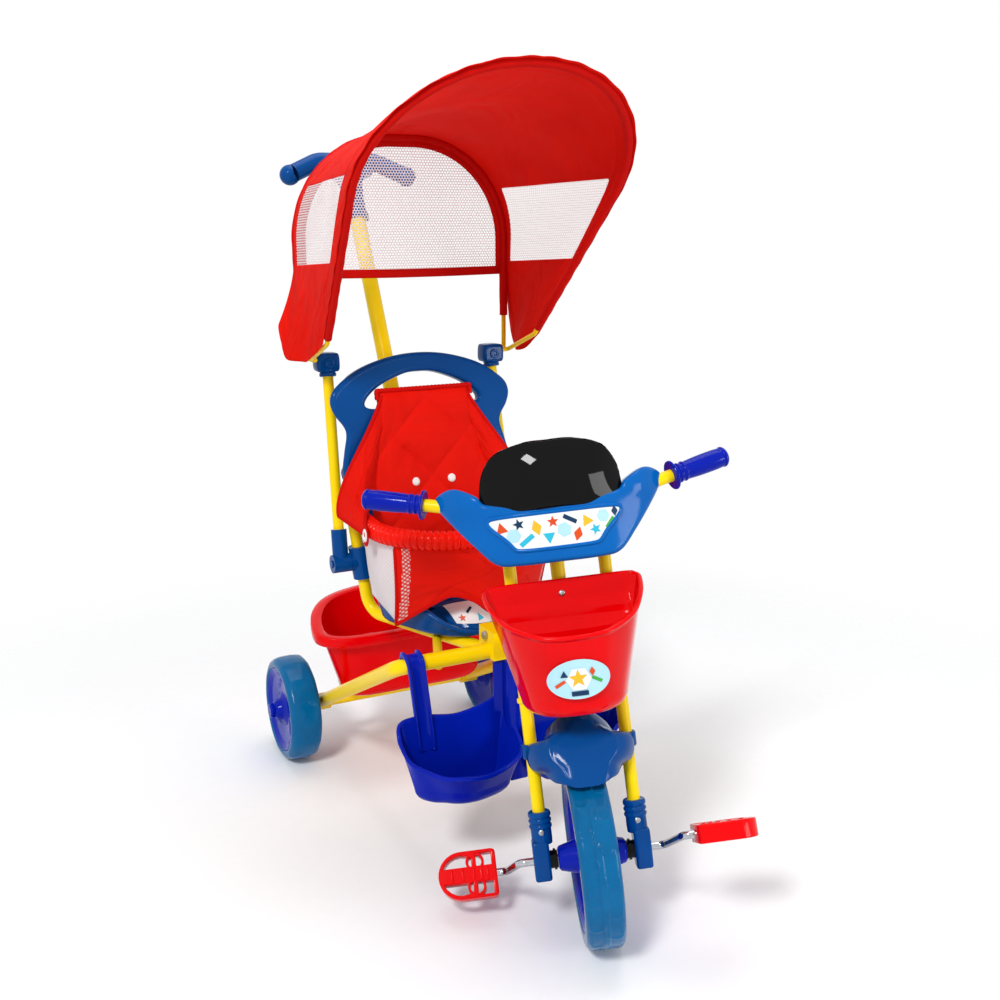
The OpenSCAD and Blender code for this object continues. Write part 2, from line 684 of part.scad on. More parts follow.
// fairing: horned front outline on a wall that is round in plan, with rim walls behind it
fairing_line = smooth(both([[0, fairing_low], [48, fairing_low], [76, fairing_low + 4],
    [fairing_half * 0.704, fairing_low + 28],
    [fairing_half * 0.9, fairing_low + 62], [fairing_half, fairing_top + 6], [fairing_half - 4,
        horn_top - 6],
    [fairing_half - 24, horn_top], [fairing_half - 50, horn_top - 12], [fairing_half - 62, fairing_top],
        [40, fairing_top - 2], [0, fairing_top - 2]]), 5);
module fairing_slab(line) translate([0, 80, 0]) rotate([90, 0, 0]) linear_extrude(180) polygon(line);
module fairing_round(front) translate([0, fairing_r - front, 300]) cylinder(r = fairing_r, h = 240,
    $fn = 96);
module fairing() color("#0b6cb4") at_front() difference() {
    intersection() {
        fairing_round(fairing_front);
        fairing_slab(fairing_line);
    }
    intersection() {
        fairing_round(fairing_front - cover_wall);
        fairing_slab(shrink(fairing_line, cover_wall));
    }
    fairing_round(fairing_front - fairing_rim);
    bar_solid(leg_r + 2 * seam);
    screen_form(0.2);
}

// one-piece round-topped windscreen standing behind the fairing's upper edge
screen_line = smooth(both([[0, fairing_top - 12], [screen_half * 0.9, fairing_top - 12], [screen_half,
    fairing_top + 22],
    [screen_half * 0.8, screen_top - 14], [screen_half * 0.36, screen_top - 1], [0, screen_top]]), 5);
screen_back = fairing_front - cover_wall - 2;
screen_t = 3;
module screen_form(grow) difference() {
    intersection() {
        translate([0, 30, 0]) rotate([90, 0, 0]) linear_extrude(120) polygon(shrink(screen_line, -grow));
        fairing_round(screen_back + grow);
    }
    fairing_round(screen_back - screen_t - grow);
}
module windscreen() color("#0c0c0e") at_front() screen_form(0);

// D-shaped bucket: tapered walls, sloping rim with a lip
basket_back = head_tube_d / 2 + run_gap;
function d_line(w, d, k) = both([[0, -basket_back - k], [w - 6 - k, -basket_back - k], [w - k,
    -basket_back - 8],
    [w * 0.97 - k, -basket_back - d * 0.36], [w * 0.82 - k, -basket_back - d * 0.68 + 0.6 * k],
    [w * 0.48 - k * 0.6, -basket_back - d * 0.93 + k], [0, -basket_back - d + k]]);
module basket_form(k, grow) hull() {
    translate([0, 0, basket_low + k]) linear_extrude(1)
        polygon(d_line(basket_floor_half + grow, basket_floor_depth + grow, k));
    translate([0, 0, basket_top + 12]) linear_extrude(1)
        polygon(d_line(basket_half + 4 + grow, basket_depth + 9 + grow, k));
}
rim_slope = atan((basket_top - basket_front_top) / basket_depth);
module above_rim(down) translate([-200, -basket_back, basket_top - down]) rotate([rim_slope, 0, 0])
    translate([0, -300, 0]) cube([400, 340, 200]);
module front_basket() color("#e8000b") at_front() difference() {
    union() {
        difference() {
            basket_form(0, 0);
            above_rim(0);
        }
        difference() {
            basket_form(0, 2.5);
            above_rim(0);
            translate([0, 0, -8]) difference() {
                translate([-200, -300, 0]) cube([400, 300, 400]);
                above_rim(0);
            }
            translate([-200, -basket_back, 0]) cube([400, 50, 400]);
        }
        translate([0, 0, basket_top - 18]) rotate([90, 0, 0]) translate([0, 0, stem_d / 2 + fit])
            cylinder(r = 8, h = basket_back - stem_d / 2);
    }
    basket_form(tub_wall, 0);
    translate([0, 0, basket_top - 18]) rotate([90, 0, 0]) cylinder(r = 2 + fit, h = 60);
}
module basket_screw() color("#c8ccd2") at_front() translate([0, 0, basket_top - 18]) rotate([90, 0, 0]) {
    translate([0, 0, 2]) cylinder(r = 2, h = basket_back + tub_wall - 1);
    translate([0, 0, basket_back + tub_wall + seam]) cylinder(r = 5, h = 2.2);
}

// mudguard: sloping arch with a round nose, clipped to both legs
guard_mid = [0, -42, front_r + 26.5];
module on_guard() translate(guard_mid) rotate([guard_slope, 0, 0]) children();
module mudguard() color("#0b5fa5") at_front() difference() {
    union() {
        on_guard() intersection() {
            difference() {
                translate([0, 0, -guard_r]) rotate([90, 0, 0]) cylinder(r = guard_r, h = 200,
                    center = true, $fn = 96);
                translate([0, 0, -guard_r]) rotate([90, 0, 0])
                    cylinder(r = guard_r - tub_wall, h = 210, center = true, $fn = 96);
            }
            translate([0, 0, -guard_r * 0.55]) linear_extrude(80) union() {
                translate([0, -guard_len / 2 + guard_w / 2]) circle(guard_w / 2);
                translate([-guard_w / 2, -guard_len / 2 + guard_w / 2]) square([guard_w,
                    guard_len - guard_w / 2]);
            }
        }
        for (s = [-1, 1]) {
            translate([s * leg_x, 0, guard_clip_h - 9]) cylinder(r = leg_r + 4, h = 18);
            translate([s > 0 ? guard_w / 2 - 6 : -leg_x, -leg_r - 4, guard_clip_h - 7])
                cube([leg_x - guard_w / 2 + 6, 7, 14]);
        }
    }
    for (s = [-1, 1]) translate([s * leg_x, 0, 0]) cylinder(r = leg_r + fit, h = 300);
}

// Seat

seat_low = seat_tube_z + seat_r + 0.3;
back_foot = [0, 115.5, seat_low + 6.5];
module on_back() translate(back_foot) rotate([90 - back_lean, 0, 0]) children();
back_h = (back_top - back_foot[2]) / cos(back_lean);
back_line = smooth(both([[0, 0], [62, 0], [88, 7], [101, 28], [104, 70], [105, 135], [111, 167], [132,
    193], [139, 215], [134, 243], [back_half - 20, 269],
    [back_half - 17, 283], [back_half - 5, 301], [back_half, 321], [back_half - 10, 341], [100,
        back_h - 21],
    [50, back_h - 5], [0, back_h]]), 4);
shoulder_w = 60;
hand_line = smooth(both([[0, back_h - 84], [56, back_h - 83], [90, back_h - 80], [92, back_h - 68], [68,
    back_h - 48],
    [28, back_h - 32], [0, back_h - 29]]), 4);
module backrest() color("#0a4a92") on_back() difference() {
    translate([0, 0, -back_t]) union() {
        linear_extrude(back_t) polygon(shrink(back_line, 3));
        translate([0, 0, 4]) linear_extrude(back_t - 8) polygon(back_line);
    }
    translate([0, 0, -back_t - 1]) linear_extrude(back_t + 2) polygon(hand_line);
    translate([0, 0, -back_t - 1]) linear_extrude(back_t - 3) difference() {
        polygon(shrink(back_line, 9));
        polygon(shrink(hand_line, -8));
        translate([-200, 150]) square([400, 6]);
        for (s = [-1, 1]) translate([s * 50 - 3, 0]) square([6, 250]);
    }
    // the shoulders are thin where the canopy posts swing forward behind them
    for (s = [-1, 1]) translate([s * back_half - shoulder_w / 2, 222, -back_t - 1])
        cube([shoulder_w, back_h, back_t + 1 - shoulder_t]);
}

seat_line = smooth(both([[0, seat_front_y], [44, seat_front_y + 7], [80, seat_front_y + 40],
    [seat_half - 16, seat_front_y + 86],
    [seat_half, seat_front_y + 132], [seat_half - 12, seat_front_y + 160], [60, seat_front_y + 166],
    [0, seat_front_y + 166]]), 5);
module seat_pan() color("#0a4a92") difference() {
    translate([0, 0, seat_low]) linear_extrude(seat_rim_z - seat_low) polygon(seat_line);
    translate([0, 0, seat_low + 7]) linear_extrude(80) polygon(shrink(seat_line, 12));
    translate([0, 0, seat_low - 1]) linear_extrude(5) difference() {
        polygon(shrink(seat_line, 4));
        polygon([for (p = seat_line) p * 0.82 + [0, 12]]);
    }
    translate([-200, seat_front_y, seat_low + 13]) rotate([34, 0, 0]) translate([0, -60, 0]) cube([400,
        100, 90]);
    on_back() translate([-300, -100, -200]) cube([600, 400, 200]);
}

// Soft seat cover: quilted back, side wings, front panel

function back_pt(x, s, d) = back_foot + [x, s * sin(back_lean) - d * cos(back_lean), s * cos(back_lean)
    + d * sin(back_lean)];
function puff(x, s) = let (a = 180 / quilt_pitch, o = 0.65 * quilt_pitch)
    quilt_t * (0.45 + 0.55 * pow(abs(sin(a * (x + s - o)) * sin(a * (x - s + o))), 0.4));
cover_low = 49;
cover_top = back_h - 56;
function cover_half(s) = s < 182 ? 101
    : 101 - 24 * (1 - cos(180 * min(1, (s - 182) / (cover_top - 202)))) / 2;
cover_rows = 18;
cover_cols = 14;
module cover_back() color("#f01c10") {
    g = [for (i = [0 : cover_rows]) let (s = mix(cover_low, cover_top, i / cover_rows))
        [for (j = [0 : cover_cols]) back_pt(mix(cover_half(s), -cover_half(s), j / cover_cols), s, 0.4)]];
    h = [for (i = [0 : cover_rows]) let (s = mix(cover_low, cover_top, i / cover_rows))
        [for (j = [0 : cover_cols]) puff(mix(cover_half(s), -cover_half(s), j / cover_cols), s)]];
    sheet(g, 0, h);
}
// wing from the back panel's edge over the guard bar's arm and down outside it
wing_steps = 8;
wing_out = 160;
wing_sink = 0.9;
module cover_wing(s) mirror([s > 0 ? 0 : 1, 0, 0]) {
    g = [for (i = [0 : wing_steps]) let (t = i / wing_steps, h = mix(295, 165, t),
            a = back_pt(cover_half(h) - 4, h, quilt_t + cloth_t - wing_sink),
            c = [wing_out, mix(148, 84, t), guard_bar_z - 8 - 10 * t],
            b = [wing_out - 8, mix(156, 108, t), mix(562, 526, t)])
        [for (j = [0 : wing_steps]) let (u = j / wing_steps)
            (1 - u) * (1 - u) * a + 2 * u * (1 - u) * b + u * u * c]];
    sheet(g, -cloth_t / 2, cloth_t / 2);
}
module cover_wing_right() color("#f01c10") cover_wing(-1);
module cover_wing_left() color("#f01c10") cover_wing(1);
// front panel from the guard bar down to the seat's front edge, arched at its lower edge
panel_foot = seat_half - 12;
panel_reach = 122;
panel_rows = 8;
panel_cols = 16;
module cover_front() color("#f01c10") {
    g = [for (i = [0 : panel_rows]) let (t = i / panel_rows) [for (j = [0 : panel_cols])
        let (w = mix(1, -1, j / panel_cols), up = sleeve_mid(w * panel_reach) - [0, 0, sleeve_d / 2 + 0.3],
            low = [panel_foot * w, seat_front_y - 8 + 84 * pow(abs(w), 2.4), seat_rim_z - 24
                + 34 * pow(max(0, cos(90 * w)), 0.8)])
        mix(up, low, t) + [0, -5 * sin(180 * t), 0]]];
    sheet(g, -cloth_t / 2, cloth_t / 2);
}

// Guard bar and its ribbed sleeve

guard_top = side_at(guard_bar_z);
guard_corner = [-guard_bar_half, guard_bar_y, guard_bar_z];
guard_pts = [side_at(guard_bar_z - 52), guard_top, guard_corner, flip(guard_corner), flip(guard_top),
    flip(side_at(guard_bar_z - 52))];
module guard_bar() color("#ffe000") bent_tube(guard_pts, [0, 18, guard_bend, guard_bend, 18, 0],
    guard_core_r);
// the sleeve follows the arms and the front bend
arm_len = norm(guard_corner - guard_top);
arm_way = (guard_corner - guard_top) / arm_len;
arm_turn = acos(arm_way * [1, 0, 0]);
arm_back = guard_bend * tan(arm_turn / 2);
sleeve_start = 34;
sleeve_sides = 8;
// a length along the sleeve gives its middle line and direction, measured from the middle of the front run
front_run = guard_bar_half - arm_back;
sleeve_arc = guard_bend * arm_turn * PI / 180;
sleeve_half = front_run + sleeve_arc + arm_len - arm_back - sleeve_start;
function sleeve_way(q) = let (a = abs(q), g = min(arm_turn, max(0, (a - front_run)
    / guard_bend * 180 / PI)))
    [cos(g), (q < 0 ? -1 : 1) * sin(g), 0];
function sleeve_mid(q) = let (a = abs(q), g = min(arm_turn, max(0, (a - front_run)
    / guard_bend * 180 / PI)),
    rest = max(0, a - front_run - sleeve_arc), x = min(a, front_run) + guard_bend * sin(g) + rest * cos(g),
    y = guard_bend * (1 - cos(g)) + rest * sin(g)) [q < 0 ? -x : x, guard_bar_y + y, guard_bar_z];
function ring_pts(q, r, turn) = let (d = sleeve_way(q)) [for (k = [0 : sleeve_sides - 1])
    let (g = 360 * k / sleeve_sides + turn)
    sleeve_mid(q) + r * [-d[1] * cos(g), d[0] * cos(g), sin(g)]];
sleeve_ribs = floor(2 * (sleeve_half - sleeve_d) / rib_pitch);
rib_span = 2 * (sleeve_half - sleeve_d) / sleeve_ribs;
rib_deep = 3;
// outer rings: plain end, a crest and a valley for each rib, plain end
outer_rings = concat([[-sleeve_half, -rib_deep]], [for (k = [0 : sleeve_ribs - 1], f = [0, 1])
    [-sleeve_half + sleeve_d + (k + (f == 0 ? 0.15 : 0.6)) * rib_span, f == 0 ? -rib_deep : 0]],
    [[sleeve_half - sleeve_d, -rib_deep], [sleeve_half, -rib_deep]]);
inner_steps = 48;
function at(i, k) = i * sleeve_sides + k % sleeve_sides;
module guard_sleeve() color("#e81410") {
    n = sleeve_sides;
    m = len(outer_rings);
    bore = (guard_core_r + 0.7) / cos(180 / n);
    pts = concat([for (o = outer_rings) each ring_pts(o[0], sleeve_d / 2 + o[1], 0)],
        [for (k = [0 : inner_steps]) each ring_pts(mix(-sleeve_half, sleeve_half, k / inner_steps), bore,
            0)]);
    polyhedron(pts, concat(
        [for (i = [0 : m - 2], k = [0 : n - 1], f = [0, 1]) f == 0 ? [at(i, k), at(i, k + 1), at(i + 1,
            k + 1)]
            : [at(i, k), at(i + 1, k + 1), at(i + 1, k)]],
        [for (i = [m : m + inner_steps - 1], k = [0 : n - 1], f = [0, 1]) f == 0 ? [at(i, k), at(i + 1,
            k + 1), at(i, k + 1)]
            : [at(i, k), at(i + 1, k), at(i + 1, k + 1)]],
        [for (k = [0 : n - 1], f = [0, 1]) f == 0 ? [at(0, k), at(m, k), at(m, k + 1)] : [at(0, k), at(m,
            k + 1), at(0, k + 1)]],
        [for (k = [0 : n - 1], f = [0, 1]) let (e = m + inner_steps) f == 0 ? [at(m - 1, k), at(e, k
            + 1), at(e, k)]
            : [at(m - 1, k), at(m - 1, k + 1), at(e, k + 1)]]));
}

// Rear tub: tapered walls, sloping flanged rim, two feet on the axle tube

tub_mid = (tub_front_y + tub_rear_y) / 2;
tub_depth = tub_rear_y - tub_front_y;
function tub_line(w, d, k) = smooth(both([[0, -d / 2 + k], [w * 0.7 - k, -d / 2 + k], [w * 0.96 - k,
    -d * 0.42 + k],
    [w - k, -d * 0.26], [w * 0.9 - k, d * 0.06], [w * 0.68 - k, d * 0.33 - k * 0.6], [w * 0.34,
        d * 0.47 - k], [0, d / 2 - k]]), 3);
module on_rim() translate([0, tub_mid, tub_rim_z + tan(tub_tilt) * tub_depth / 2]) rotate([tub_tilt, 0,
    0]) children();
module tub_form(k) hull() {
    translate([0, tub_mid, tub_low + k]) linear_extrude(1) polygon(tub_line(tub_half * 0.72,
        tub_depth * 0.84, k));
    on_rim() translate([0, 0, k > 0 ? 1 : -1]) linear_extrude(1) polygon(tub_line(tub_half, tub_depth, k));
}
foot_x = tub_half * 0.42;
module rear_tub() color("#e8000b") difference() {
    union() {
        tub_form(0);
        on_rim() translate([0, 0, -tub_wall]) linear_extrude(tub_wall) polygon(tub_line(tub_half
            + tub_flange, tub_depth + tub_flange, 0));
        on_rim() translate([0, 0, -9]) linear_extrude(9) difference() {
            polygon(tub_line(tub_half + tub_flange, tub_depth + tub_flange, 0));
            polygon(tub_line(tub_half + tub_flange - 2.5, tub_depth + tub_flange - 5, 0));
        }
        right_left() translate([-foot_x - 12, rear_y - 13, rear_axle_z]) cube([24, 26,
            tub_low - rear_axle_z + 1]);
    }
    tub_form(tub_wall);
    at_rear(0) along_x(-200, 200, axle_r + 5 + seam);
}

// Footrest: two scooped trays with a high back, straps over the base tube, a middle post bolted to the bracket

foot_back_y = base_front_y - base_r;
foot_line = smooth([[foot_half, foot_back_y - 18], [foot_half - 10, foot_back_y - 2], [foot_half - 42,
    foot_back_y], [foot_half / 2, foot_back_y],
    [24, foot_back_y], [7, foot_back_y - 4], [7, foot_back_y - 26], [34, foot_front_y + 22], [66,
        foot_front_y + 4],
    [foot_half / 2 + 8, foot_front_y], [foot_half - 44, foot_front_y + 24], [foot_half - 12,
        foot_back_y - 38]], 4);
foot_slope = atan((foot_back_z - foot_lip_z) / (foot_back_y - foot_front_y));
module above_lip() translate([-10, foot_back_y, foot_back_z]) rotate([foot_slope, 0, 0]) translate([0,
    -200, 0]) cube([260, 260, 160]);
strap_x = base_half - base_bend + 8;
tray_mid = [foot_half * 0.36, (foot_front_y + foot_back_y) / 2];
tray_taper = 0.86;
module tray_form(k) hull() {
    translate([0, 0, foot_low + k]) linear_extrude(0.1)
        polygon([for (p = shrink(foot_line, k)) tray_mid + (p - tray_mid) * tray_taper]);
    translate([0, 0, foot_back_z + k]) linear_extrude(0.1) polygon(shrink(foot_line, k));
}
module foot_tray() {
    difference() {
        tray_form(0);
        tray_form(tub_wall);
        above_lip();
    }
    difference() {
        translate([strap_x - strap_w / 2, foot_back_y - 4, foot_back_z - 14])
            cube([strap_w, 4, base_front_z - foot_back_z + 14]);
        base_tube_solid(base_r + 0.1);
    }
    difference() {
        translate([strap_x - strap_w / 2, base_front_y, base_front_z]) rotate([0, 90, 0])
            cylinder(r = base_r + 4, h = strap_w);
        base_tube_solid(base_r + 0.1);
        translate([0, base_front_y - 60, base_front_z - 60]) cube([300, 120, 58]);
    }
}
post_y0 = base_front_y - base_r - 6;
module footrest() color("#0a1eb4") {
    difference() {
        union() {
            right_left() foot_tray();
            translate([-13, foot_back_y - 30, foot_low + 8]) cube([26, 30,
                bracket_low - seam - foot_low - 8]);
            translate([-26, foot_back_y - 4, foot_back_z - 60]) cube([52, 4,
                bracket_low - seam - foot_back_z + 60]);
        }
        translate([0, foot_back_y + 1, 222]) rotate([90, 0, 0]) cylinder(r = 3 + fit, h = 12);
        base_cross(base_r + 0.1);
    }
}
module foot_bolt() color("#c8ccd2") translate([0, foot_back_y, 222]) rotate([90, 0, 0]) {
    translate([0, 0, 1]) cylinder(r = 3, h = 9.5);
}

// Push bar and handle

push_end = push_foot + push_dir * push_len;
module push_bar() color("#ffe000") rod(push_foot - push_dir * 20, push_end, push_r);
handle_at = push_end + push_dir * (handle_stem - 26);
module push_handle() color("#0b5fa5") difference() {
    union() {
        rod(push_end - push_dir * 26, handle_at, push_r + 4);
        rod(push_end - push_dir * 26, push_end - push_dir * 18, push_r + 6);
        translate(handle_at) rotate([-push_lean, 0, 0]) {
            bent_tube([[-handle_half, 0, -16], [-handle_half * 0.5, 0, 10], [handle_half * 0.5, 0, 10],
                [handle_half, 0, -16]],
                40, handle_d / 2);
            for (s = [-1, 1]) translate([s * handle_half, 0, -16]) sphere(handle_d / 2 + 2);
            difference() {
                translate([0, 0, -30]) rotate([90, 0, 0]) cylinder(r = 46, h = 18, center = true);
                for (s = [-1, 1]) translate([s * 52, 0, -46]) rotate([90, 0, 0]) cylinder(r = 36, h = 30,
                    center = true);
                translate([-60, -20, -90]) cube([120, 40, 40]);
            }
        }
    }
    rod(push_foot, push_end + push_dir * fit, push_r + fit);
}

// Canopy posts, pivots and bow clamps

barrel_in = abs(side_at(knuckle_z)[0]) + seat_r + 8;
post_foot = [-(barrel_in + knuckle_out) / 2, knuckle_y, knuckle_z];
post_top = [-post_top_spread / 2, knuckle_y + (clamp_z - knuckle_z) * tan(post_lean), clamp_z];
post_way = unit(post_top - post_foot);
module side_clamp() difference() {
    union() {
        rod(side_at(knuckle_z - 26), side_at(knuckle_z + 24), seat_r + 6);
        translate([0, knuckle_y, knuckle_z]) along_x(-barrel_in, side_at(knuckle_z)[0], knuckle_d / 2);
    }
    rod(side_at(knuckle_z - 60), side_at(knuckle_z + 50), seat_r + fit);
    translate([0, knuckle_y, knuckle_z]) along_x(-barrel_in - 1, -barrel_in + 7, 3.2 + fit);
}
module side_clamp_right() color("#0b5fa5") side_clamp();
module side_clamp_left() color("#0b5fa5") mirror([1, 0, 0]) side_clamp();
module post_knuckles() color("#0b5fa5") right_left() difference() {
    union() {
        translate([0, knuckle_y, knuckle_z]) {
            along_x(-knuckle_out, -barrel_in - run_gap, knuckle_d / 2);
            along_x(-barrel_in - run_gap - 1, -barrel_in + 6, 3.2);
            along_x(-knuckle_out - 2, -knuckle_out + 1, 6, $fn = 6);
        }
        rod(post_foot, post_foot + post_way * 52, post_r + 4);
    }
    rod(post_foot + post_way * 16, post_top, post_r + fit);
}
module canopy_posts() color("#ffe000") right_left() rod(post_foot + post_way * 16, post_top
    + post_way * 8, post_r);

clamp_mid = post_top - [1, 0, 0];
pin_z = clamp_z + 5;
front_pin_y = clamp_mid[1] - 8;
rear_pin_y = clamp_mid[1] + 7;
clamp_out = -clamp_mid[0] + clamp_w / 2;
pin_end = clamp_out - 8;
module bow_clamps() color("#0b5fa5") right_left() difference() {
    union() {
        translate([-clamp_out, clamp_mid[1] - 15, clamp_z - clamp_h / 2]) cube([clamp_w, 30, clamp_h]);
        rod(post_top - post_way * (clamp_h / 2 + 6), post_top, post_r + 5);
    }
    rod(post_top - post_way * 60, post_top + post_way * 8, post_r + fit);
    translate([0, front_pin_y, pin_z]) along_x(-clamp_out - 1, -pin_end + fit, wire_r + fit);
    translate([0, rear_pin_y, pin_z]) along_x(-clamp_out - 1, -pin_end + fit, wire_r + fit);
    translate([-clamp_out - 1, clamp_mid[1] - 1, clamp_z - clamp_h]) cube([5, 2, 2 * clamp_h]);
}

// Bows: an arch is [lower half width, lower height, widest half width, height, half width of the flat crown]

front_arch = [front_bow_half - 23, 50, front_bow_half, front_bow_len, 5];
rear_arch = [rear_bow_half, 53, rear_bow_half, rear_bow_len, 19];
function arch_r(a) = a[2] - a[4];
function arch_mid(a) = [a[4], a[3] - arch_r(a)];
function arch_lean(a) = let (d = arch_mid(a) - [a[0], a[1]]) atan2(d[0], d[1]) + asin(arch_r(a) / norm(d));
function arch_tan(a) = let (d = arch_mid(a) - [a[0], a[1]], n = arch_lean(a))
    [a[0], a[1]] + sqrt(norm(d) * norm(d) - arch_r(a) * arch_r(a)) * [sin(n), cos(n)];
function arch_arc(a) = arch_r(a) * (90 + arch_lean(a)) * PI / 180;
function arch_half(a) = arch_arc(a) + a[4];
// point of the arch at the length q past the leg's upper end, o outside the wire's middle
function arch_at(a, q, o) = let (n = arch_lean(a)) q < 0 ? arch_tan(a) + q * [sin(n), cos(n)]
    + o * [cos(n), -sin(n)]
    : q < arch_arc(a) ? let (g = q / arch_r(a) * 180 / PI - n) arch_mid(a) + (arch_r(a) + o) * [cos(g),
        sin(g)]
    : [a[4] - (q - arch_arc(a)), a[3] + o];
front_bow_y = clamp_mid[1] - 63;
rear_bow_y = clamp_mid[1] + 18;
function front_pt(p) = [p[0], front_bow_y - sin(front_bow_tilt) * p[1], clamp_z + cos(front_bow_tilt)
    * p[1]];
function rear_pt(p) = [p[0], rear_bow_y, clamp_z + p[1]];
function arch_corner(a) = [a[0] + tan(arch_lean(a)) * (a[3] - a[1]), a[3]];
function bow_pts(a, y, foot, corner) = [[pin_end, y, pin_z], [clamp_out + 9, y, pin_z], foot, corner,
    flip(corner), flip(foot),
    [-clamp_out - 9, y, pin_z], [-pin_end, y, pin_z]];
module front_bow() color("#ffe000") bent_tube(bow_pts(front_arch, front_pin_y, front_pt([front_arch[0],
    front_arch[1]]),
    front_pt(arch_corner(front_arch))), [0, 8, 14, arch_r(front_arch), arch_r(front_arch), 14, 8, 0],
        wire_r);
module rear_bow() color("#ffe000") bent_tube(bow_pts(rear_arch, rear_pin_y, rear_pt([rear_arch[0],
    rear_arch[1]]),
    rear_pt(arch_corner(rear_arch))), [0, 6, 14, arch_r(rear_arch), arch_r(rear_arch), 14, 6, 0], wire_r);

// Canopy cloth: one ruled surface between the two bows, cut into roof, windows and flaps

cloth_out = wire_r + 0.55 + cloth_t / 2;
// length along an arch where it reaches a height
function q_at(a, h) = let (t = arch_tan(a)) h < t[1] ? (h - t[1]) / cos(arch_lean(a))
    : (asin(min(1, (h - arch_mid(a)[1]) / arch_r(a))) + arch_lean(a)) * PI / 180 * arch_r(a);
function front_h(h) = h / cos(front_bow_tilt);
cloth_front = cloth_out / sin(90 - front_bow_tilt - 6);
function canopy_pt(qf, qr, v) = mix(rear_pt(arch_at(rear_arch, qr, cloth_out)),
    front_pt(arch_at(front_arch, qf, cloth_front)), v);
cloth_over = 0.014;
roof_cols = 9;
roof_rows = 16;
function side_pt(w, v, hr, hf, toward) = let (f0 = q_at(front_arch, hf), r0 = q_at(rear_arch, hr))
    canopy_pt(mix(f0, toward == 1 ? arch_half(front_arch) : toward, w), mix(r0, toward == 1
        ? arch_half(rear_arch) : toward, w), v);
window_front_low = front_h(window_low + 10);
window_front_high = front_h(window_high + 8);
module canopy_roof() color("#f02010") {
    g = [for (i = [-roof_rows : roof_rows]) [for (j = [0 : roof_cols])
        let (w = 1 - abs(i) / roof_rows, v = j == 0 ? -cloth_over : j == roof_cols ? 1
            + cloth_over : (j - 1) / (roof_cols - 2),
            p = side_pt(w, v, window_high, window_front_high, 1), sag = 7 * sin(180 * max(0, min(1, v)))
                * sin(90 * w))
        [i < 0 ? p[0] : -p[0], p[1], p[2] - sag]]];
    sheet(g, -cloth_t / 2, cloth_t / 2);
}
// band of the canopy's side between two heights on both bows
module side_band(r0, r1, f0, f1, v0, v1, rows, cols) {
    g = [for (i = [0 : rows]) [for (j = [0 : cols]) let (t = i / rows, v = mix(v0, v1, j / cols))
        canopy_pt(mix(q_at(front_arch, f0), q_at(front_arch, f1), t), mix(q_at(rear_arch, r0),
            q_at(rear_arch, r1), t), v)]];
    sheet(g, -cloth_t / 2, cloth_t / 2);
}
flap_gap = 0.35;
hem_v = 1 - hem_w / norm(front_pt(front_arch) - rear_pt(rear_arch));
// flap: a round-ended tongue that hangs lower in its middle and flares out at the rear
function flap_pt(t, v) = let (h = flap_low + 30 * pow(abs(2 * v - 1), 3), open = pow(1 - t, 1.4))
    canopy_pt(mix(q_at(front_arch, front_h(h)), q_at(front_arch, window_front_low - flap_gap), t),
        mix(q_at(rear_arch, h), q_at(rear_arch, window_low - flap_gap), t), v) + [open * (5
            + flap_flare * (1 - v)), 0, 0];
module canopy_windows() color("#f4f4f2") right_left()
    side_band(window_low + seam, window_high - cloth_t, window_front_low + seam,
        window_front_high - cloth_t, 0, 0.9, 6, 6);
module canopy_flaps() color("#f02010") right_left() {
    g = [for (i = [0 : 5]) [for (j = [0 : 8]) flap_pt(i / 5, mix(-cloth_over, 1 + cloth_over, j / 8))]];
    sheet(g, -cloth_t / 2, cloth_t / 2);
    side_band(window_low + seam, window_high - cloth_t, window_front_low + seam,
        window_front_high - cloth_t, 0.9 + 0.0015, 1 + cloth_over, 6, 2);
}
rear_net_low = window_low - rear_hem_w;
module rear_window() color("#f4f4f2") translate([0, rear_bow_y + 0.5, clamp_z]) rotate([90, 0, 0])
    linear_extrude(1) polygon(concat(
    [for (k = [0 : 12]) arch_at(rear_arch, mix(q_at(rear_arch, rear_net_low), arch_half(rear_arch),
        k / 12), -wire_r - 0.3)],
    [for (k = [12 : -1 : 0]) let (p = arch_at(rear_arch, mix(q_at(rear_arch, rear_net_low),
        arch_half(rear_arch), k / 12), -wire_r - 0.3))
        [-p[0] - (k == 12 ? 0.01 : 0), p[1]]]));

front_tyre();
front_rim();
crank();
pedal_right();
pedal_left();
rear_tyre_right();
rear_rim_right();
rear_cap_right();
rear_tyre_left();
rear_rim_left();
rear_cap_left();
rear_axle();
axle_tube();
base_tube();
seat_tube_right();
seat_tube_left();
frame_struts();
front_frame();
frame_bolt();
push_socket();
fork_leg_right();
fork_leg_left();
fork_crowns();
steering_stem();
fork_end_right();
fork_end_left();
fork_screws();
hub_spacers();
handlebar();
grip_right();
grip_left();
fairing();
windscreen();
front_basket();
basket_screw();
mudguard();
seat_pan();
backrest();
cover_back();
cover_wing_right();
cover_wing_left();
cover_front();
guard_bar();
guard_sleeve();
rear_tub();
footrest();
foot_bolt();
push_bar();
push_handle();
side_clamp_right();
side_clamp_left();
canopy_posts();
post_knuckles();
bow_clamps();
rear_bow();
front_bow();
canopy_roof();
canopy_windows();
canopy_flaps();
rear_window();
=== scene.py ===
"""Looks of a toddler push-along trike: moulded covers, painted tube, woven canopy and quilted seat cover.

All lengths are millimetres in the CAD frame (front is -Y, the rider's right is -X, ground is z = 0) until a mesh is
made, where they become metres.
"""

import json
import logging
import math
from dataclasses import dataclass, field
from enum import Enum
from typing import Callable, Sequence

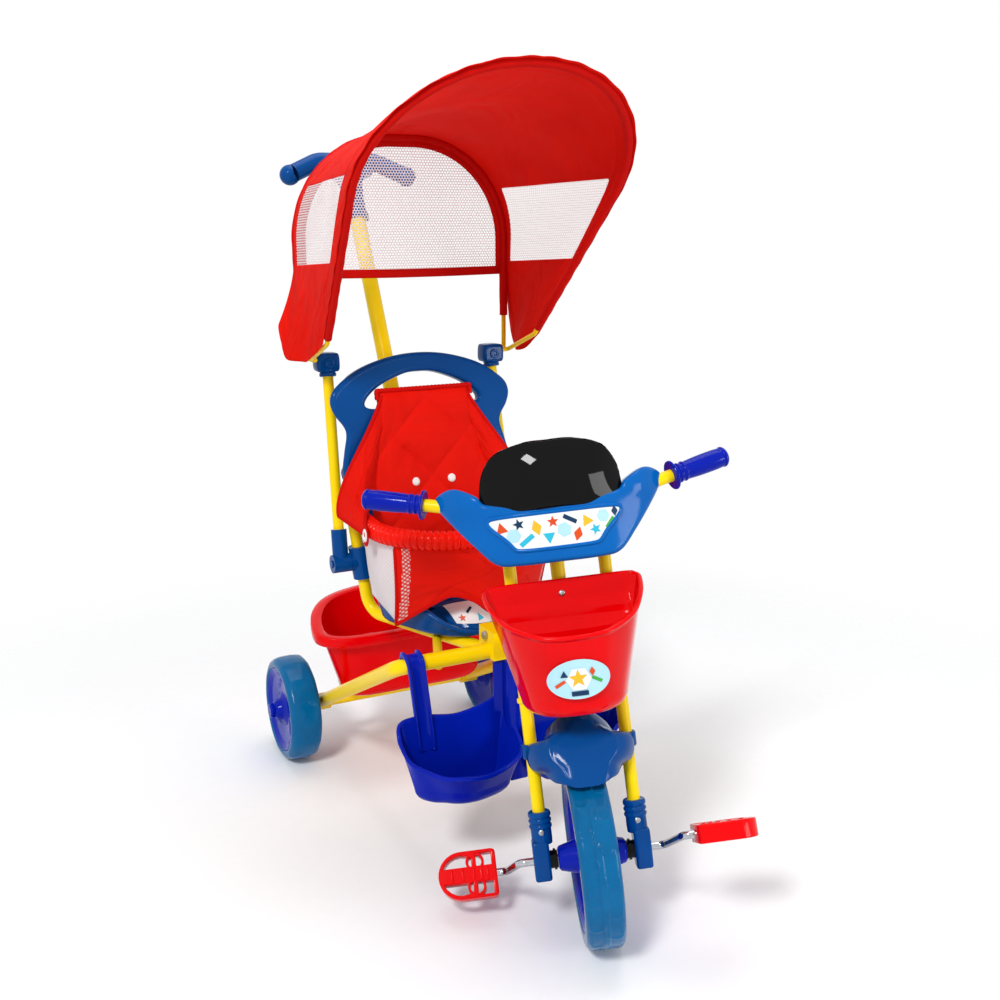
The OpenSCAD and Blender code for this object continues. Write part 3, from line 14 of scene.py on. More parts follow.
import bpy
import numpy as np
from mathutils import Matrix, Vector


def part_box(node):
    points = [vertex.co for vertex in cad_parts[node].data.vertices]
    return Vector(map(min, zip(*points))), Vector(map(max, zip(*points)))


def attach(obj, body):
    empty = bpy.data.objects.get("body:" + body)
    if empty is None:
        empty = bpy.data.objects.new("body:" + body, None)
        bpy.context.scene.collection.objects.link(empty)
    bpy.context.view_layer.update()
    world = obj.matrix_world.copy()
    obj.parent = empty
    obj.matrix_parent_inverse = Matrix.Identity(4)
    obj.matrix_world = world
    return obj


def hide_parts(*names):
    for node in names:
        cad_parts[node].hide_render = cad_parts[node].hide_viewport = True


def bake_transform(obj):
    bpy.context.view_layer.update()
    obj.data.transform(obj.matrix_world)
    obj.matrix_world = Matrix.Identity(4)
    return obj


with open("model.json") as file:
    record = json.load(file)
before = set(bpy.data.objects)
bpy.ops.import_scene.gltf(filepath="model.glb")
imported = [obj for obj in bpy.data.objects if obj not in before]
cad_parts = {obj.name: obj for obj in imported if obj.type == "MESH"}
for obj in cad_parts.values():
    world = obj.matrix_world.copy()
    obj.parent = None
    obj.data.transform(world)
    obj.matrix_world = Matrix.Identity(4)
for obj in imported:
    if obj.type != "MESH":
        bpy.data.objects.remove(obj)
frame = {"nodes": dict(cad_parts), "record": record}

Array = np.ndarray
Piece = bpy.types.Object
Socket = bpy.types.NodeSocket
Pair = tuple[float, float]
Vec = tuple[float, float, float]
MM = 0.001
ACROSS, BACK, UP = (1.0, 0.0, 0.0), (0.0, 1.0, 0.0), (0.0, 0.0, 1.0)
# Grids that close on themselves round each row only, or from the last row to the first as well
ROUND, RING = (False, True), (True, True)
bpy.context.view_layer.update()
log = logging.getLogger("trike")


class Side(Enum):
    """Side of the rider, with the sign of X on it."""

    RIGHT = -1
    LEFT = 1

    @property
    def word(self) -> str:
        """The side as it stands in the names of pieces and nodes."""
        return self.name.lower()

    @property
    def flip(self) -> Array:
        """Factor that carries a shape drawn on the left to this side."""
        return np.array([self.value, 1, 1])


class Body(Enum):
    """CAD body that a piece rides on."""

    FRAME = "frame"
    FORK = "steered_fork"
    FRONT_WHEEL = "front_wheel"
    RIGHT_WHEEL = "right_wheel"
    LEFT_WHEEL = "left_wheel"
    RIGHT_PEDAL = "right_pedal"
    LEFT_PEDAL = "left_pedal"
    CANOPY = "canopy_frame"
    CANOPY_FRONT = "canopy_front"


# Shader nodes


def linear(colour: str) -> tuple[float, float, float, float]:
    """Turn an sRGB hex colour into linear RGBA.

    Args:
        colour: "#rrggbb".

    Returns:
        Red, green, blue and an alpha of one.
    """
    s = np.array([int(colour[k : k + 2], 16) for k in (1, 3, 5)]) / 255
    rgb = np.where(s <= 0.04045, s / 12.92, ((s + 0.055) / 1.055) ** 2.4)
    return (float(rgb[0]), float(rgb[1]), float(rgb[2]), 1.0)


def put(tree: bpy.types.NodeTree, kind: str, fill: dict | None = None, **settings: object) -> bpy.types.Node:
    """Add one shader node.

    Args:
        tree: Node tree to add to.
        kind: Blender's type name of the node, without ShaderNode.
        fill: Input name or index to a value or an output socket.
        settings: Properties of the node.

    Returns:
        The new node.
    """
    node = tree.nodes.new("ShaderNode" + kind)
    for key, value in settings.items():
        setattr(node, key, value)
    for key, value in (fill or {}).items():
        if isinstance(value, Socket):
            tree.links.new(value, node.inputs[key])
        else:
            node.inputs[key].default_value = value
    return node


class Shader:
    """Node material in the making, with the steps that the finishes share."""

    def __init__(self, name: str, space: str = "Object") -> None:
        """Start an empty material.

        Args:
            name: Name of the material.
            space: Texture coordinate that its patterns lie in.
        """
        self.made = bpy.data.materials.new(name)
        self.made.use_nodes = True
        self.tree = self.made.node_tree
        self.tree.nodes.clear()
        self.where = put(self.tree, "TexCoord").outputs[space]

    def put(self, kind: str, fill: dict | None = None, **settings: object) -> Socket:
        """Add one node and return its first output."""
        return put(self.tree, kind, fill, **settings).outputs[0]

    def noise(self, scale: float, detail: float, twist: float = 0.0) -> Socket:
        """Cloudy noise with scale cells a metre."""
        return self.put("TexNoise", {"Vector": self.where, "Scale": scale, "Detail": detail, "Distortion": twist})

    def tint(self, share: Socket, first: str, second: str) -> Socket:
        """Colour between two hex colours."""
        fill = {0: share, 6: linear(first), 7: linear(second)}
        return put(self.tree, "Mix", fill, data_type="RGBA").outputs[2]

    def span(self, share: Socket, low: float, high: float) -> Socket:
        """Value between two limits."""
        return self.put("MapRange", {0: share, 3: low, 4: high})

    def calc(self, operation: str, *values: Socket | float) -> Socket:
        """Result of a sum on values."""
        return self.put("Math", dict(enumerate(values)), operation=operation)

    def bump(self, height: Socket, strength: float, distance: float, **under: Socket) -> Socket:
        """Normal tilted by a height, over the Normal of the step under it."""
        return self.put("Bump", {"Height": height, "Strength": strength, "Distance": distance, **under})

    def skin(self, tint: Socket, rough: Socket | float, **more: Socket | float) -> Socket:
        """Principled surface; more holds its other inputs, with _ for a space."""
        fill = {key.replace("_", " "): value for key, value in more.items()}
        return self.put("BsdfPrincipled", {"Base Color": tint, "Roughness": rough, **fill})

    def done(self, surface: Socket) -> bpy.types.Material:
        """Join the surface to the output and return the material."""
        put(self.tree, "OutputMaterial", {"Surface": surface})
        return self.made


@dataclass(frozen=True)
class Moulding:
    """Injection or blow moulded polypropylene: strong colour, clear highlights, faint flow clouding and peel."""

    name: str
    colour: str
    deep: str
    gloss: float = 0.2
    flow: float = 70.0
    peel: float = 5.0
    relief: float = 0.05
    shine: float = 0.11

    def material(self) -> bpy.types.Material:
        """Colour clouds as wide as the mould flow, roughness that wanders four times finer, fine peel as bump."""
        s = Shader(self.name)
        tint = s.tint(s.noise(1000 / self.flow, 3.0), self.colour, self.deep)
        rough = s.span(s.noise(4000 / self.flow, 4.0), 0.72 * self.gloss, 1.3 * self.gloss)
        bump = s.bump(s.noise(1000 / self.peel, 2.0), self.relief, 0.001)
        return s.done(s.skin(tint, rough, IOR=1.49, Specular_IOR_Level=self.shine, Normal=bump))


@dataclass(frozen=True)
class PowderCoat:
    """Baked powder paint on steel tube: warm even colour, soft highlight broken by a fine peel."""

    name: str
    colour: str
    deep: str
    peel: float = 2.4
    drift: float = 12.0

    def material(self) -> bpy.types.Material:
        """Two noises: colour drift over hand widths and the paint's peel, drawn coarser than the real 1 mm."""
        s = Shader(self.name)
        tint = s.tint(s.noise(self.drift, 3.0), self.colour, self.deep)
        peel = s.noise(1000 / self.peel, 2.0)
        bump = s.bump(peel, 0.07, 0.0006)
        return s.done(s.skin(tint, s.span(peel, 0.24, 0.36), IOR=1.5, Specular_IOR_Level=0.2, Normal=bump))


@dataclass(frozen=True)
class PlatedSteel:
    """Chrome or zinc plated rod: mirror or satin metal, clouded by its plating."""

    name: str
    colour: str
    low: float
    high: float
    dull: str = "#8e9298"
    grain: float = 160.0

    def material(self) -> bpy.types.Material:
        """Roughness wanders between low and high over 6 mm, with colour a little darker where it is dull."""
        s = Shader(self.name)
        grain = s.noise(self.grain, 4.0)
        return s.done(s.skin(s.tint(grain, self.colour, self.dull), s.span(grain, self.low, self.high), Metallic=1.0))


@dataclass(frozen=True)
class Woven:
    """Plain woven polyester: matt red with a visible thread grid, light through it and broad colour drift."""

    name: str
    colour: str
    deep: str
    thread: float = 1.8
    rough: float = 0.72
    contrast: float = 0.25
    glow: float = 0.2
    crease: float = 0.0
    drift: float = 14.0
    worn: float = 9.0

    def material(self) -> bpy.types.Material:
        """Two crossing waves on the piece's own UV, in metres; threads drawn at 1.8 mm because 0.4 mm is lost."""
        s = Shader(self.name, "UV")
        pitch = 2 * math.pi / 20 / (self.thread * MM)
        warp, weft = (put(s.tree, "TexWave", {"Vector": s.where, "Scale": pitch}, bands_direction=way).outputs["Fac"]
                      for way in "XY")
        weave = s.calc("MULTIPLY", warp, weft)
        calm = s.calc("MULTIPLY", s.noise(self.drift, 4.0), 1 - self.contrast)
        tint = s.tint(s.calc("MULTIPLY_ADD", weave, self.contrast, calm), self.deep, self.colour)
        folds = s.bump(s.noise(self.worn, 1.6, 1.4), 0.7, self.crease * MM)
        bump = s.bump(weave, 0.16, 0.0006, Normal=folds)
        cloth = s.skin(tint, self.rough, Specular_IOR_Level=0.12, Normal=bump)
        through = s.put("BsdfTranslucent", {"Color": tint, "Normal": bump})
        return s.done(s.put("MixShader", {0: self.glow, 1: cloth, 2: through}))


NAVY = Moulding("polypropylene_navy", "#004c92", "#003e82", 0.1)
SKY = Moulding("polypropylene_blue", "#0368bb", "#0259a8", 0.11)
TYRE = Moulding("blown_tyre_blue", "#046a9e", "#035284", 0.16, 30.0, 3.0, 0.07, 0.13)
ROYAL = Moulding("polypropylene_royal", "#0320b0", "#021894", 0.12)
RED = Moulding("polypropylene_red", "#ee0006", "#da0005", 0.11)
BLACK = Moulding("polypropylene_black", "#050506", "#0b0b0d", 0.04, 70.0, 9.0, 0.02, 0.13)
FOAM = Moulding("soft_vinyl_red", "#f81a05", "#e40e03", 0.2, 30.0)
SNAP = Moulding("acetal_white", "#f4f4f0", "#e6e6e2", 0.25, 20.0)
YELLOW = PowderCoat("powder_coat_yellow", "#ffdf00", "#fcd200")
CHROME = PlatedSteel("chrome_plate", "#d4d7da", 0.05, 0.14)
ZINC = PlatedSteel("zinc_plate", "#c4c6c8", 0.22, 0.4)
CLOTH = Woven("woven_polyester_red", "#fa1d05", "#e20d02", crease=16.0)
TAPE = Woven("binding_tape_red", "#e80e03", "#cc0702", 1.4)
NET = Woven("knitted_net_white", "#f8f6f6", "#f2f0f0", 1.2, 0.6, 0.25, 0.4)
MESH = Woven("knitted_net_slack", "#ffffff", "#eee6e8", 4.4, 0.6, 0.8, 0.35)
LATTICE = Woven("knitted_net_over_red", "#fbf4f2", "#e02a1c", 4.6, 0.6, 0.95)
INKS = {name: Moulding("print_" + name, colour, deep, 0.3, 25.0, 2.0, 0.02) for name, colour, deep in (
    ("white", "#f3f5f4", "#e8ecec"), ("orange", "#e4582a", "#d44a20"), ("yellow", "#f0c23a", "#e6b42c"),
    ("aqua", "#3cc4de", "#2cb2d0"), ("slate", "#1f3f63", "#183454"), ("pale", "#bfe6f2", "#a9dcec"),
    ("green", "#4fb24a", "#3fa03c"))}
FINISHES: dict[str, bpy.types.Material] = {}


def finish(kind: Moulding | PowderCoat | PlatedSteel | Woven) -> bpy.types.Material:
    """Return the one material of a finish, made at its first use."""
    if kind.name not in FINISHES:
        FINISHES[kind.name] = kind.material()
    return FINISHES[kind.name]


# Curves and surfaces


def coords(*values: Array | float) -> Array:
    """Points from their coordinates, each spread to the shape of the others."""
    return np.stack(np.broadcast_arrays(*values), -1)


def bell(x: Array, width: float) -> Array:
    """Bell curve with a height of one round zero."""
    return np.exp(-((x / width) ** 2))


def turns(count: int) -> Array:
    """Angles evenly round a full turn, the last one short of it."""
    return np.linspace(0, 2 * math.pi, count, endpoint=False)


def spans(a: Array, b: Array, c: Array, d: Array, t: Array) -> Array:
    """Catmull-Rom spans from b to c, with a and d as the points beside them, at the shares t."""
    t = t[None, :, None]
    q = 2 * b[:, None] + (c - a)[:, None] * t + (2 * a - 5 * b + 4 * c - d)[:, None] * t**2
    return (0.5 * (q + (3 * b - a - 3 * c + d)[:, None] * t**3)).reshape(-1, b.shape[1])


def loop_curve(points: Sequence, per: int = 12) -> Array:
    """Closed Catmull-Rom curve through control points, per samples a span."""
    b = np.asarray(points, float)
    return spans(np.roll(b, 1, 0), b, np.roll(b, -1, 0), np.roll(b, -2, 0), np.arange(per) / per)


def open_curve(points: Sequence, count: int) -> Array:
    """Open Catmull-Rom curve through control points, sampled evenly by its length."""
    p = np.asarray(points, float)
    p = np.vstack([2 * p[0] - p[1], p, 2 * p[-1] - p[-2]])
    q = spans(p[:-3], p[1:-2], p[2:-1], p[3:], np.linspace(0, 1, 24, endpoint=False))
    return even(np.vstack([q, p[-2]]), count)


def even(points: Array, count: int, closed: bool = False) -> Array:
    """Sample a polyline evenly by its length.

    Args:
        points: Corner points.
        count: Number of samples.
        closed: Whether the last point joins the first.

    Returns:
        The samples.
    """
    p = np.vstack([points, points[:1]]) if closed else np.asarray(points, float)
    run = np.concatenate([[0], np.cumsum(np.linalg.norm(np.diff(p, axis=0), axis=1))])
    at = np.linspace(0, run[-1], count, endpoint=not closed)
    return np.stack([np.interp(at, run, p[:, k]) for k in range(p.shape[1])], 1)


def mirrored(half: Sequence) -> Array:
    """Closed outline from a half outline that starts and ends on the middle line."""
    p = np.asarray(half, float)
    return np.vstack([p, p[-2:0:-1] * [-1, 1]])


def inset(line: Array, d: float) -> Array:
    """Move each point of a closed anticlockwise outline inwards by d."""
    e = np.roll(line, -1, 0) - np.roll(line, 1, 0)
    e = e / np.linalg.norm(e, axis=1, keepdims=True)
    return line + d * coords(-e[:, 1], e[:, 0])


def mix(a: Array | float, b: Array | float, t: Array | float) -> Array:
    """Straight blend from a to b."""
    return a + (np.asarray(b) - a) * t


def ease(t: Array) -> Array:
    """Smooth step from 0 to 1."""
    t = np.clip(t, 0, 1)
    return t * t * (3 - 2 * t)


def unit(v: Array) -> Array:
    """Vectors at length one."""
    return v / np.maximum(np.linalg.norm(v, axis=-1, keepdims=True), 1e-9)


def ripple(x: Array, y: Array, seed: float) -> Array:
    """Quiet, repeatable unevenness between -1 and 1: four plane waves at odd angles and lengths."""
    k = np.array([[1.0, 0.31], [-0.47, 1.13], [1.71, -0.83], [0.62, 2.07]])
    turn = np.array([0.7, 2.9, 4.4, 1.3]) + seed
    return sum(np.sin(x * a + y * b + s) for (a, b), s in zip(k, turn)) / 4


def softened(values: Array, width: int) -> Array:
    """Smooth the values round a closed loop with a bell over an odd number of samples."""
    bell, k = np.hanning(width) / np.hanning(width).sum(), width // 2
    return np.convolve(np.concatenate([values[-k:], values, values[:k]]), bell, "valid")


def box_line(x0: float, y0: float, x1: float, y1: float) -> Array:
    """Outline of a rectangle between two corners, anticlockwise."""
    return np.array([[x0, y0], [x1, y0], [x1, y1], [x0, y1]], float)


def sweep(path: Array, radius: Array, sides: int, up: Sequence = (0, 0, 1)) -> Array:
    """Rings round a path.

    Args:
        path: Points of the middle line.
        radius: One radius, or one a point.
        sides: Points a ring.
        up: Direction that is never along the path.

    Returns:
        Rings, points a ring, xyz.
    """
    way = unit(np.gradient(path, axis=0))
    across = unit(np.cross(way, np.asarray(up, float)))
    top = np.cross(across, way)
    g = turns(sides)[None, :, None]
    r = np.broadcast_to(np.asarray(radius, float), (len(path),))[:, None, None]
    return path[:, None] + r * (np.cos(g) * across[:, None] + np.sin(g) * top[:, None])


def lathe(profile: Array, foot: Sequence, way: Sequence, first: Sequence, sides: int) -> Array:
    """Turn a profile about an axis.

    Args:
        profile: Radius and place along the axis of each point.
        foot: Where the axis starts.
        way: Direction of the axis, at length one.
        first: Direction of the first point of each ring, at length one.
        sides: Points a ring.

    Returns:
        Profile points, points a ring, xyz.
    """
    g = turns(sides)[None, :, None]
    over = np.cos(g) * np.asarray(first, float) + np.sin(g) * np.cross(way, first)
    mid = np.asarray(foot, float) + profile[:, 1:] * np.asarray(way, float)
    return mid[:, None] + profile[:, :1, None] * over


def quads(rows: int, cols: int, wrap_rows: bool, wrap_cols: bool) -> Array:
    """Corner numbers of a grid's faces."""
    i = np.arange(rows if wrap_rows else rows - 1)[:, None]
    j = np.arange(cols if wrap_cols else cols - 1)[None, :]
    n, k = (i + 1) % rows, (j + 1) % cols
    return coords(i * cols + j, n * cols + j, n * cols + k, i * cols + k).reshape(-1, 4)


def build(name: str, points: Array, faces: list[Array], kinds: Sequence, pick: Array | None = None,
          uv: Array | None = None, about: Sequence | None = None) -> Piece:
    """Make a mesh object at the origin, with its faces outwards.

    Args:
        name: Name of the piece.
        points: Vertices in millimetres.
        faces: Arrays of triangles and of quads.
        kinds: Finishes of its material slots.
        pick: Slot number of each face.
        uv: Flat place of each vertex in millimetres.
        about: Point that the faces look away from; the middle where it is left out.

    Returns:
        The new object.
    """
    v = points.reshape(-1, 3)
    centre = v.mean(0) if about is None else np.asarray(about, float)
    out = sum(float((np.cross(v[f[:, 1]] - v[f[:, 0]], v[f[:, 2]] - v[f[:, 0]]) * (v[f].mean(1) - centre)).sum())
              for f in faces)
    if out < 0:
        faces = [f[:, ::-1] for f in faces]
    mesh = bpy.data.meshes.new(name)
    mesh.from_pydata((v * MM).tolist(), [], [row for f in faces for row in f.tolist()])
    for kind in kinds:
        mesh.materials.append(finish(kind))
    mesh.polygons.foreach_set("use_smooth", np.ones(len(mesh.polygons), bool))
    if pick is not None:
        mesh.polygons.foreach_set("material_index", np.asarray(pick, np.int32))
    if uv is not None:
        corner = np.empty(len(mesh.loops), np.int32)
        mesh.loops.foreach_get("vertex_index", corner)
        mesh.uv_layers.new(name="UVMap").data.foreach_set("uv", (uv.reshape(-1, 2)[corner] * MM).ravel())
    mesh.update()
    piece = bpy.data.objects.new(name, mesh)
    bpy.context.scene.collection.objects.link(piece)
    return piece


def patch(name: str, grid: Array, kind: object, wrap: tuple[bool, bool] = (False, False), caps: bool = False,
          uv: Array | None = None, about: Sequence | None = None) -> Piece:
    """Make one grid of points a piece.

    Args:
        name: Name of the piece.
        grid: Rows, columns, xyz.
        kind: Finish.
        wrap: Whether the rows and the columns close on themselves.
        caps: Whether the first and last row are closed with a fan round their middle.
        uv: Flat place of each point.
        about: Point that the faces look away from.

    Returns:
        The new object.
    """
    m, n = grid.shape[:2]
    points = grid.reshape(-1, 3)
    faces = [quads(m, n, *wrap)]
    if caps:
        points = np.vstack([points, grid[0].mean(0), grid[-1].mean(0)])
        j = np.arange(n)
        k = (j + 1) % n
        faces.append(coords(m * n, j, k))
        faces.append(coords(m * n + 1, (m - 1) * n + k, (m - 1) * n + j))
    return build(name, points, faces, [kind], uv=uv, about=about)


def joined(name: str, parts: Sequence[Piece]) -> Piece:
    """Join finished pieces into the first one, under a new name."""
    with bpy.context.temp_override(active_object=parts[0], selected_editable_objects=list(parts)):
        bpy.ops.object.join()
    parts[0].name = parts[0].data.name = name
    return parts[0]


def thicken(piece: Piece, depth: float, offset: float = -1.0) -> Piece:
    """Give a sheet its thickness in millimetres with Solidify."""
    step = piece.modifiers.new("wall", "SOLIDIFY")
    step.thickness, step.offset, step.use_even_offset = depth * MM, offset, False
    return piece


def taped(name: str, grid: Array, run: Array, step: float) -> Piece:
    """Finish a swept tape with caps and its own flat map.

    Args:
        name: Name of the piece.
        grid: Rings of the tape.
        run: Length along the tape at each ring.
        step: Width of the tape from one point of a ring to the next.

    Returns:
        The tape.
    """
    uv = coords(run[:, None], np.arange(grid.shape[1])[None] * step).reshape(-1, 2)
    return patch(name, grid, TAPE, ROUND, True, uv=np.vstack([uv, uv[:1], uv[-1:]]))


def refine(piece: Piece, levels: int = 1) -> Piece:
    """Smooth a piece with a subdivision surface."""
    step = piece.modifiers.new("smooth", "SUBSURF")
    step.levels = step.render_levels = levels
    return piece


def fit(piece: Piece, body: Body, slot: str, *nodes: str) -> Piece:
    """Ride a piece on its body and hide the CAD nodes that it stands for."""
    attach(piece, body.value)
    if nodes:
        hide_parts(*nodes)
    log.info("%s rides on %s", piece.name, body.value)
    return piece


def flat_slab(name: str, outlines: Sequence[Array], low: float, high: float, edge: float, kind: object) -> Piece:
    """Flat plate with holes and rounded edges, made as a filled curve and turned into a mesh.

    Args:
        name: Name of the piece.
        outlines: Outer outline and holes, in the plate's own plane.
        low: Lower face.
        high: Upper face.
        edge: Radius of the edges.
        kind: Finish.

    Returns:
        The plate, flat in XY.
    """
    curve = bpy.data.curves.new(name, "CURVE")
    curve.dimensions, curve.fill_mode = "2D", "BOTH"
    curve.extrude, curve.bevel_depth, curve.bevel_resolution = (high - low) / 2 * MM - edge * MM, edge * MM, 3
    curve.offset = -edge * MM
    for line in outlines:
        spline = curve.splines.new("POLY")
        spline.points.add(len(line) - 1)
        spline.points.foreach_set("co", coords(line[:, 0] * MM, line[:, 1] * MM, 0, 1).ravel())
        spline.use_cyclic_u = True
    maker = bpy.data.objects.new(name + ".curve", curve)
    bpy.context.scene.collection.objects.link(maker)
    bpy.context.view_layer.update()
    mesh = bpy.data.meshes.new_from_object(maker.evaluated_get(bpy.context.evaluated_depsgraph_get()))
    bpy.data.objects.remove(maker)
    mesh.transform(Matrix.Translation((0, 0, (low + high) / 2 * MM)))
    mesh.materials.clear()
    mesh.materials.append(finish(kind))
    mesh.name = name
    piece = bpy.data.objects.new(name, mesh)
    bpy.context.scene.collection.objects.link(piece)
    return piece


def moved(piece: Piece, place: Callable[[Array], Array]) -> Piece:
    """Carry a piece's vertices to their place in the trike.

    Args:
        piece: Piece made in its own plane.
        place: Function from millimetres there to millimetres in the trike.

    Returns:
        The piece.
    """
    co = np.empty(len(piece.data.vertices) * 3)
    piece.data.vertices.foreach_get("co", co)
    piece.data.vertices.foreach_set("co", (place(co.reshape(-1, 3) / MM) * MM).ravel())
    piece.data.update()
    return piece


@dataclass(frozen=True)
class Steering:
    """The raked, turned frame that the fork and what it carries are drawn in."""

    axle: Vec = (0.0, -336.0, 112.398)
    rake: float = math.radians(14.9)
    rest: float = math.radians(-23.6)

    def place(self, p: Array) -> Array:
        """Turn by the steering angle, lean by the rake, move to the axle."""
        c, s = math.cos(self.rest), math.sin(self.rest)
        x, y = p[..., 0] * c - p[..., 1] * s, p[..., 0] * s + p[..., 1] * c
        cr, sr = math.cos(self.rake), math.sin(self.rake)
        return coords(x, y * cr + p[..., 2] * sr, -y * sr + p[..., 2] * cr) + np.array(self.axle)


STEER = Steering()


def bucket(floor: Array, mouth: Array, tops: Array, low: float, wall: float, lip: float, corner: float,
           drop: float = 5.0) -> Array:
    """Rings of a moulded bucket, from the middle of its underside over the rim to the middle of its inside.

    Each wall ring blends the floor's outline into the mouth's; the corner at the floor is a quarter round.

    Args:
        floor: Outline of the floor.
        mouth: Outline of the mouth, point for point.
        tops: Height of the rim at each point.
        low: Underside.
        wall: Wall thickness.
        lip: How far the rolled rim stands out.
        corner: Radius at the floor.
        drop: Height of the rolled rim.

    Returns:
        Rings, points, xyz.
    """
    def ring(line: Array, z: Array | float) -> Array:
        return coords(line[:, 0], line[:, 1], z)

    def side(k: float, floor_z: float, r: float) -> list[Array]:
        base, head = inset(floor, k), inset(mouth, k)
        mid = base.mean(0)
        share = r / np.linalg.norm(base - mid, axis=1).mean()
        rings = [ring(mid + (base - mid) * (1 - share) * f, floor_z) for f in (0.04, 0.35, 0.7, 1.0)]
        for g in np.linspace(0, math.pi / 2, 6)[1:]:
            rings.append(ring(mid + (base - mid) * (1 - share * (1 - math.sin(g))), floor_z + r * (1 - math.cos(g))))
        for t in np.linspace(0.06, 1, 22):
            rings.append(ring(mix(base, head, t), mix(floor_z + r, tops - drop, t)))
        return rings

    outer, inner = side(0, low, corner), side(wall, low + wall, corner - wall * 0.6)
    roll = [(-0.3, -drop - 0.5), (-lip + 0.6, -drop), (-lip - 0.4, -drop + 0.7), (-lip - 0.8, -0.6 * drop),
            (-lip - 0.3, -1.4), (-lip + 1.4, 0.0), (wall - 1.4, 0.0), (wall - 0.4, -1.0), (wall, -2.6)]
    rim = [ring(inset(mouth, d), tops + h) for d, h in roll]
    return np.stack(outer + rim + inner[::-1])


# Points of a printed shape: those of its edge and its middle
FAN = 31
STAR = np.where(np.arange(10) % 2, 0.45, 1.05)
OUTLINES = {
    "triangle": np.array([[0, 1.0], [-0.9, -0.62], [0.9, -0.62]]),
    "diamond": np.array([[0, 1.1], [-0.7, 0], [0, -1.1], [0.7, 0]]),
    "bar": np.array([[-1.1, 0.32], [-1.1, -0.32], [1.1, -0.32], [1.1, 0.32]]),
    "star": coords(STAR * np.sin(turns(10)), STAR * np.cos(turns(10))),
    "hexagon": coords(np.cos(turns(6)), np.sin(turns(6))),
}


def printed(name: str, shapes: Sequence[tuple[str, str, float, float, float, float]],
            place: Callable[[Array], Array], about: Sequence) -> Piece:
    """Flat printed shapes as fans of triangles, each in its own ink, laid on a surface.

    Args:
        name: Name of the piece.
        shapes: Kind, ink, place across, place up, size and turn in degrees of each shape.
        place: Function from places in the label's plane, FAN of them a shape, to points in the trike.
        about: Point that the faces look away from.

    Returns:
        The new object.
    """
    inks = list(dict.fromkeys(ink for _, ink, *_ in shapes))
    points, faces, pick = [], [], []
    n = FAN - 1
    j = np.arange(n)
    for at, (kind, ink, x, y, size, turn) in enumerate(shapes):
        c, s = math.cos(math.radians(turn)), math.sin(math.radians(turn))
        edge = even(OUTLINES[kind], n, True) @ np.array([[c, s], [-s, c]]) * size + [x, y]
        points.append(np.vstack([edge, edge.mean(0)]))
        faces.append(at * FAN + coords(n, j, (j + 1) % n))
        pick.append(np.full(n, inks.index(ink)))
    return build(name, place(np.vstack(points)), [np.vstack(faces)], [INKS[k] for k in inks], np.concatenate(pick),
                 about=about)


def net(width: float, height: float, pitch: float, keep: Callable[[Array, Array], Array]) -> tuple[Array, Array]:
    """Knitted net as cells with a six-sided hole each; every other row is shifted by half a cell.

    Args:
        width: Width of the net.
        height: Height of the net.
        pitch: Width of a cell.
        keep: Test of a cell's middle, true where the cell is kept.

    Returns:
        Points in the net's plane and quads.
    """
    rise = pitch * 0.86
    rows, cols = int(height / rise), int(width / pitch)
    r, c = np.meshgrid(np.arange(rows), np.arange(cols), indexing="ij")
    x, y = (c + 0.5 + 0.25 * (1 - 2 * (r % 2))) * pitch, (r + 0.5) * rise
    good = keep(x, y)
    mid = coords(x[good], y[good])
    edge = np.array([[0.5, 0], [0.5, 0.5], [0, 0.5], [-0.5, 0.5], [-0.5, 0], [-0.5, -0.5], [0, -0.5], [0.5, -0.5]])
    hole = np.array([[0.34, 0], [0.31, 0.24], [0, 0.39], [-0.31, 0.24], [-0.34, 0], [-0.31, -0.24], [0, -0.39],
                     [0.31, -0.24]])
    cell = np.vstack([edge, hole]) * [pitch, rise]
    points = (mid[:, None] + cell[None]).reshape(-1, 2)
    j = np.arange(8)
    ring = coords(j, (j + 1) % 8, 8 + (j + 1) % 8, 8 + j)
    return points, (np.arange(len(mid))[:, None, None] * 16 + ring[None]).reshape(-1, 4)


# Sub-assemblies


@dataclass(frozen=True)
class WheelSize:
    """Sizes of one wheel.

    The tyre has a radius, width and radial height, the height of its centre ridge, how far its shoulders fall, the
    share of flat facets in its round, the height of its crescents and their number in a row. The rim has the length
    of its hub and how far its disc lies from the wheel's middle plane.
    """

    radius: float
    width: float
    height: float
    ridge: float
    crown: float
    facet: float
    relief: float
    marks: int
    hub: float
    disc: float


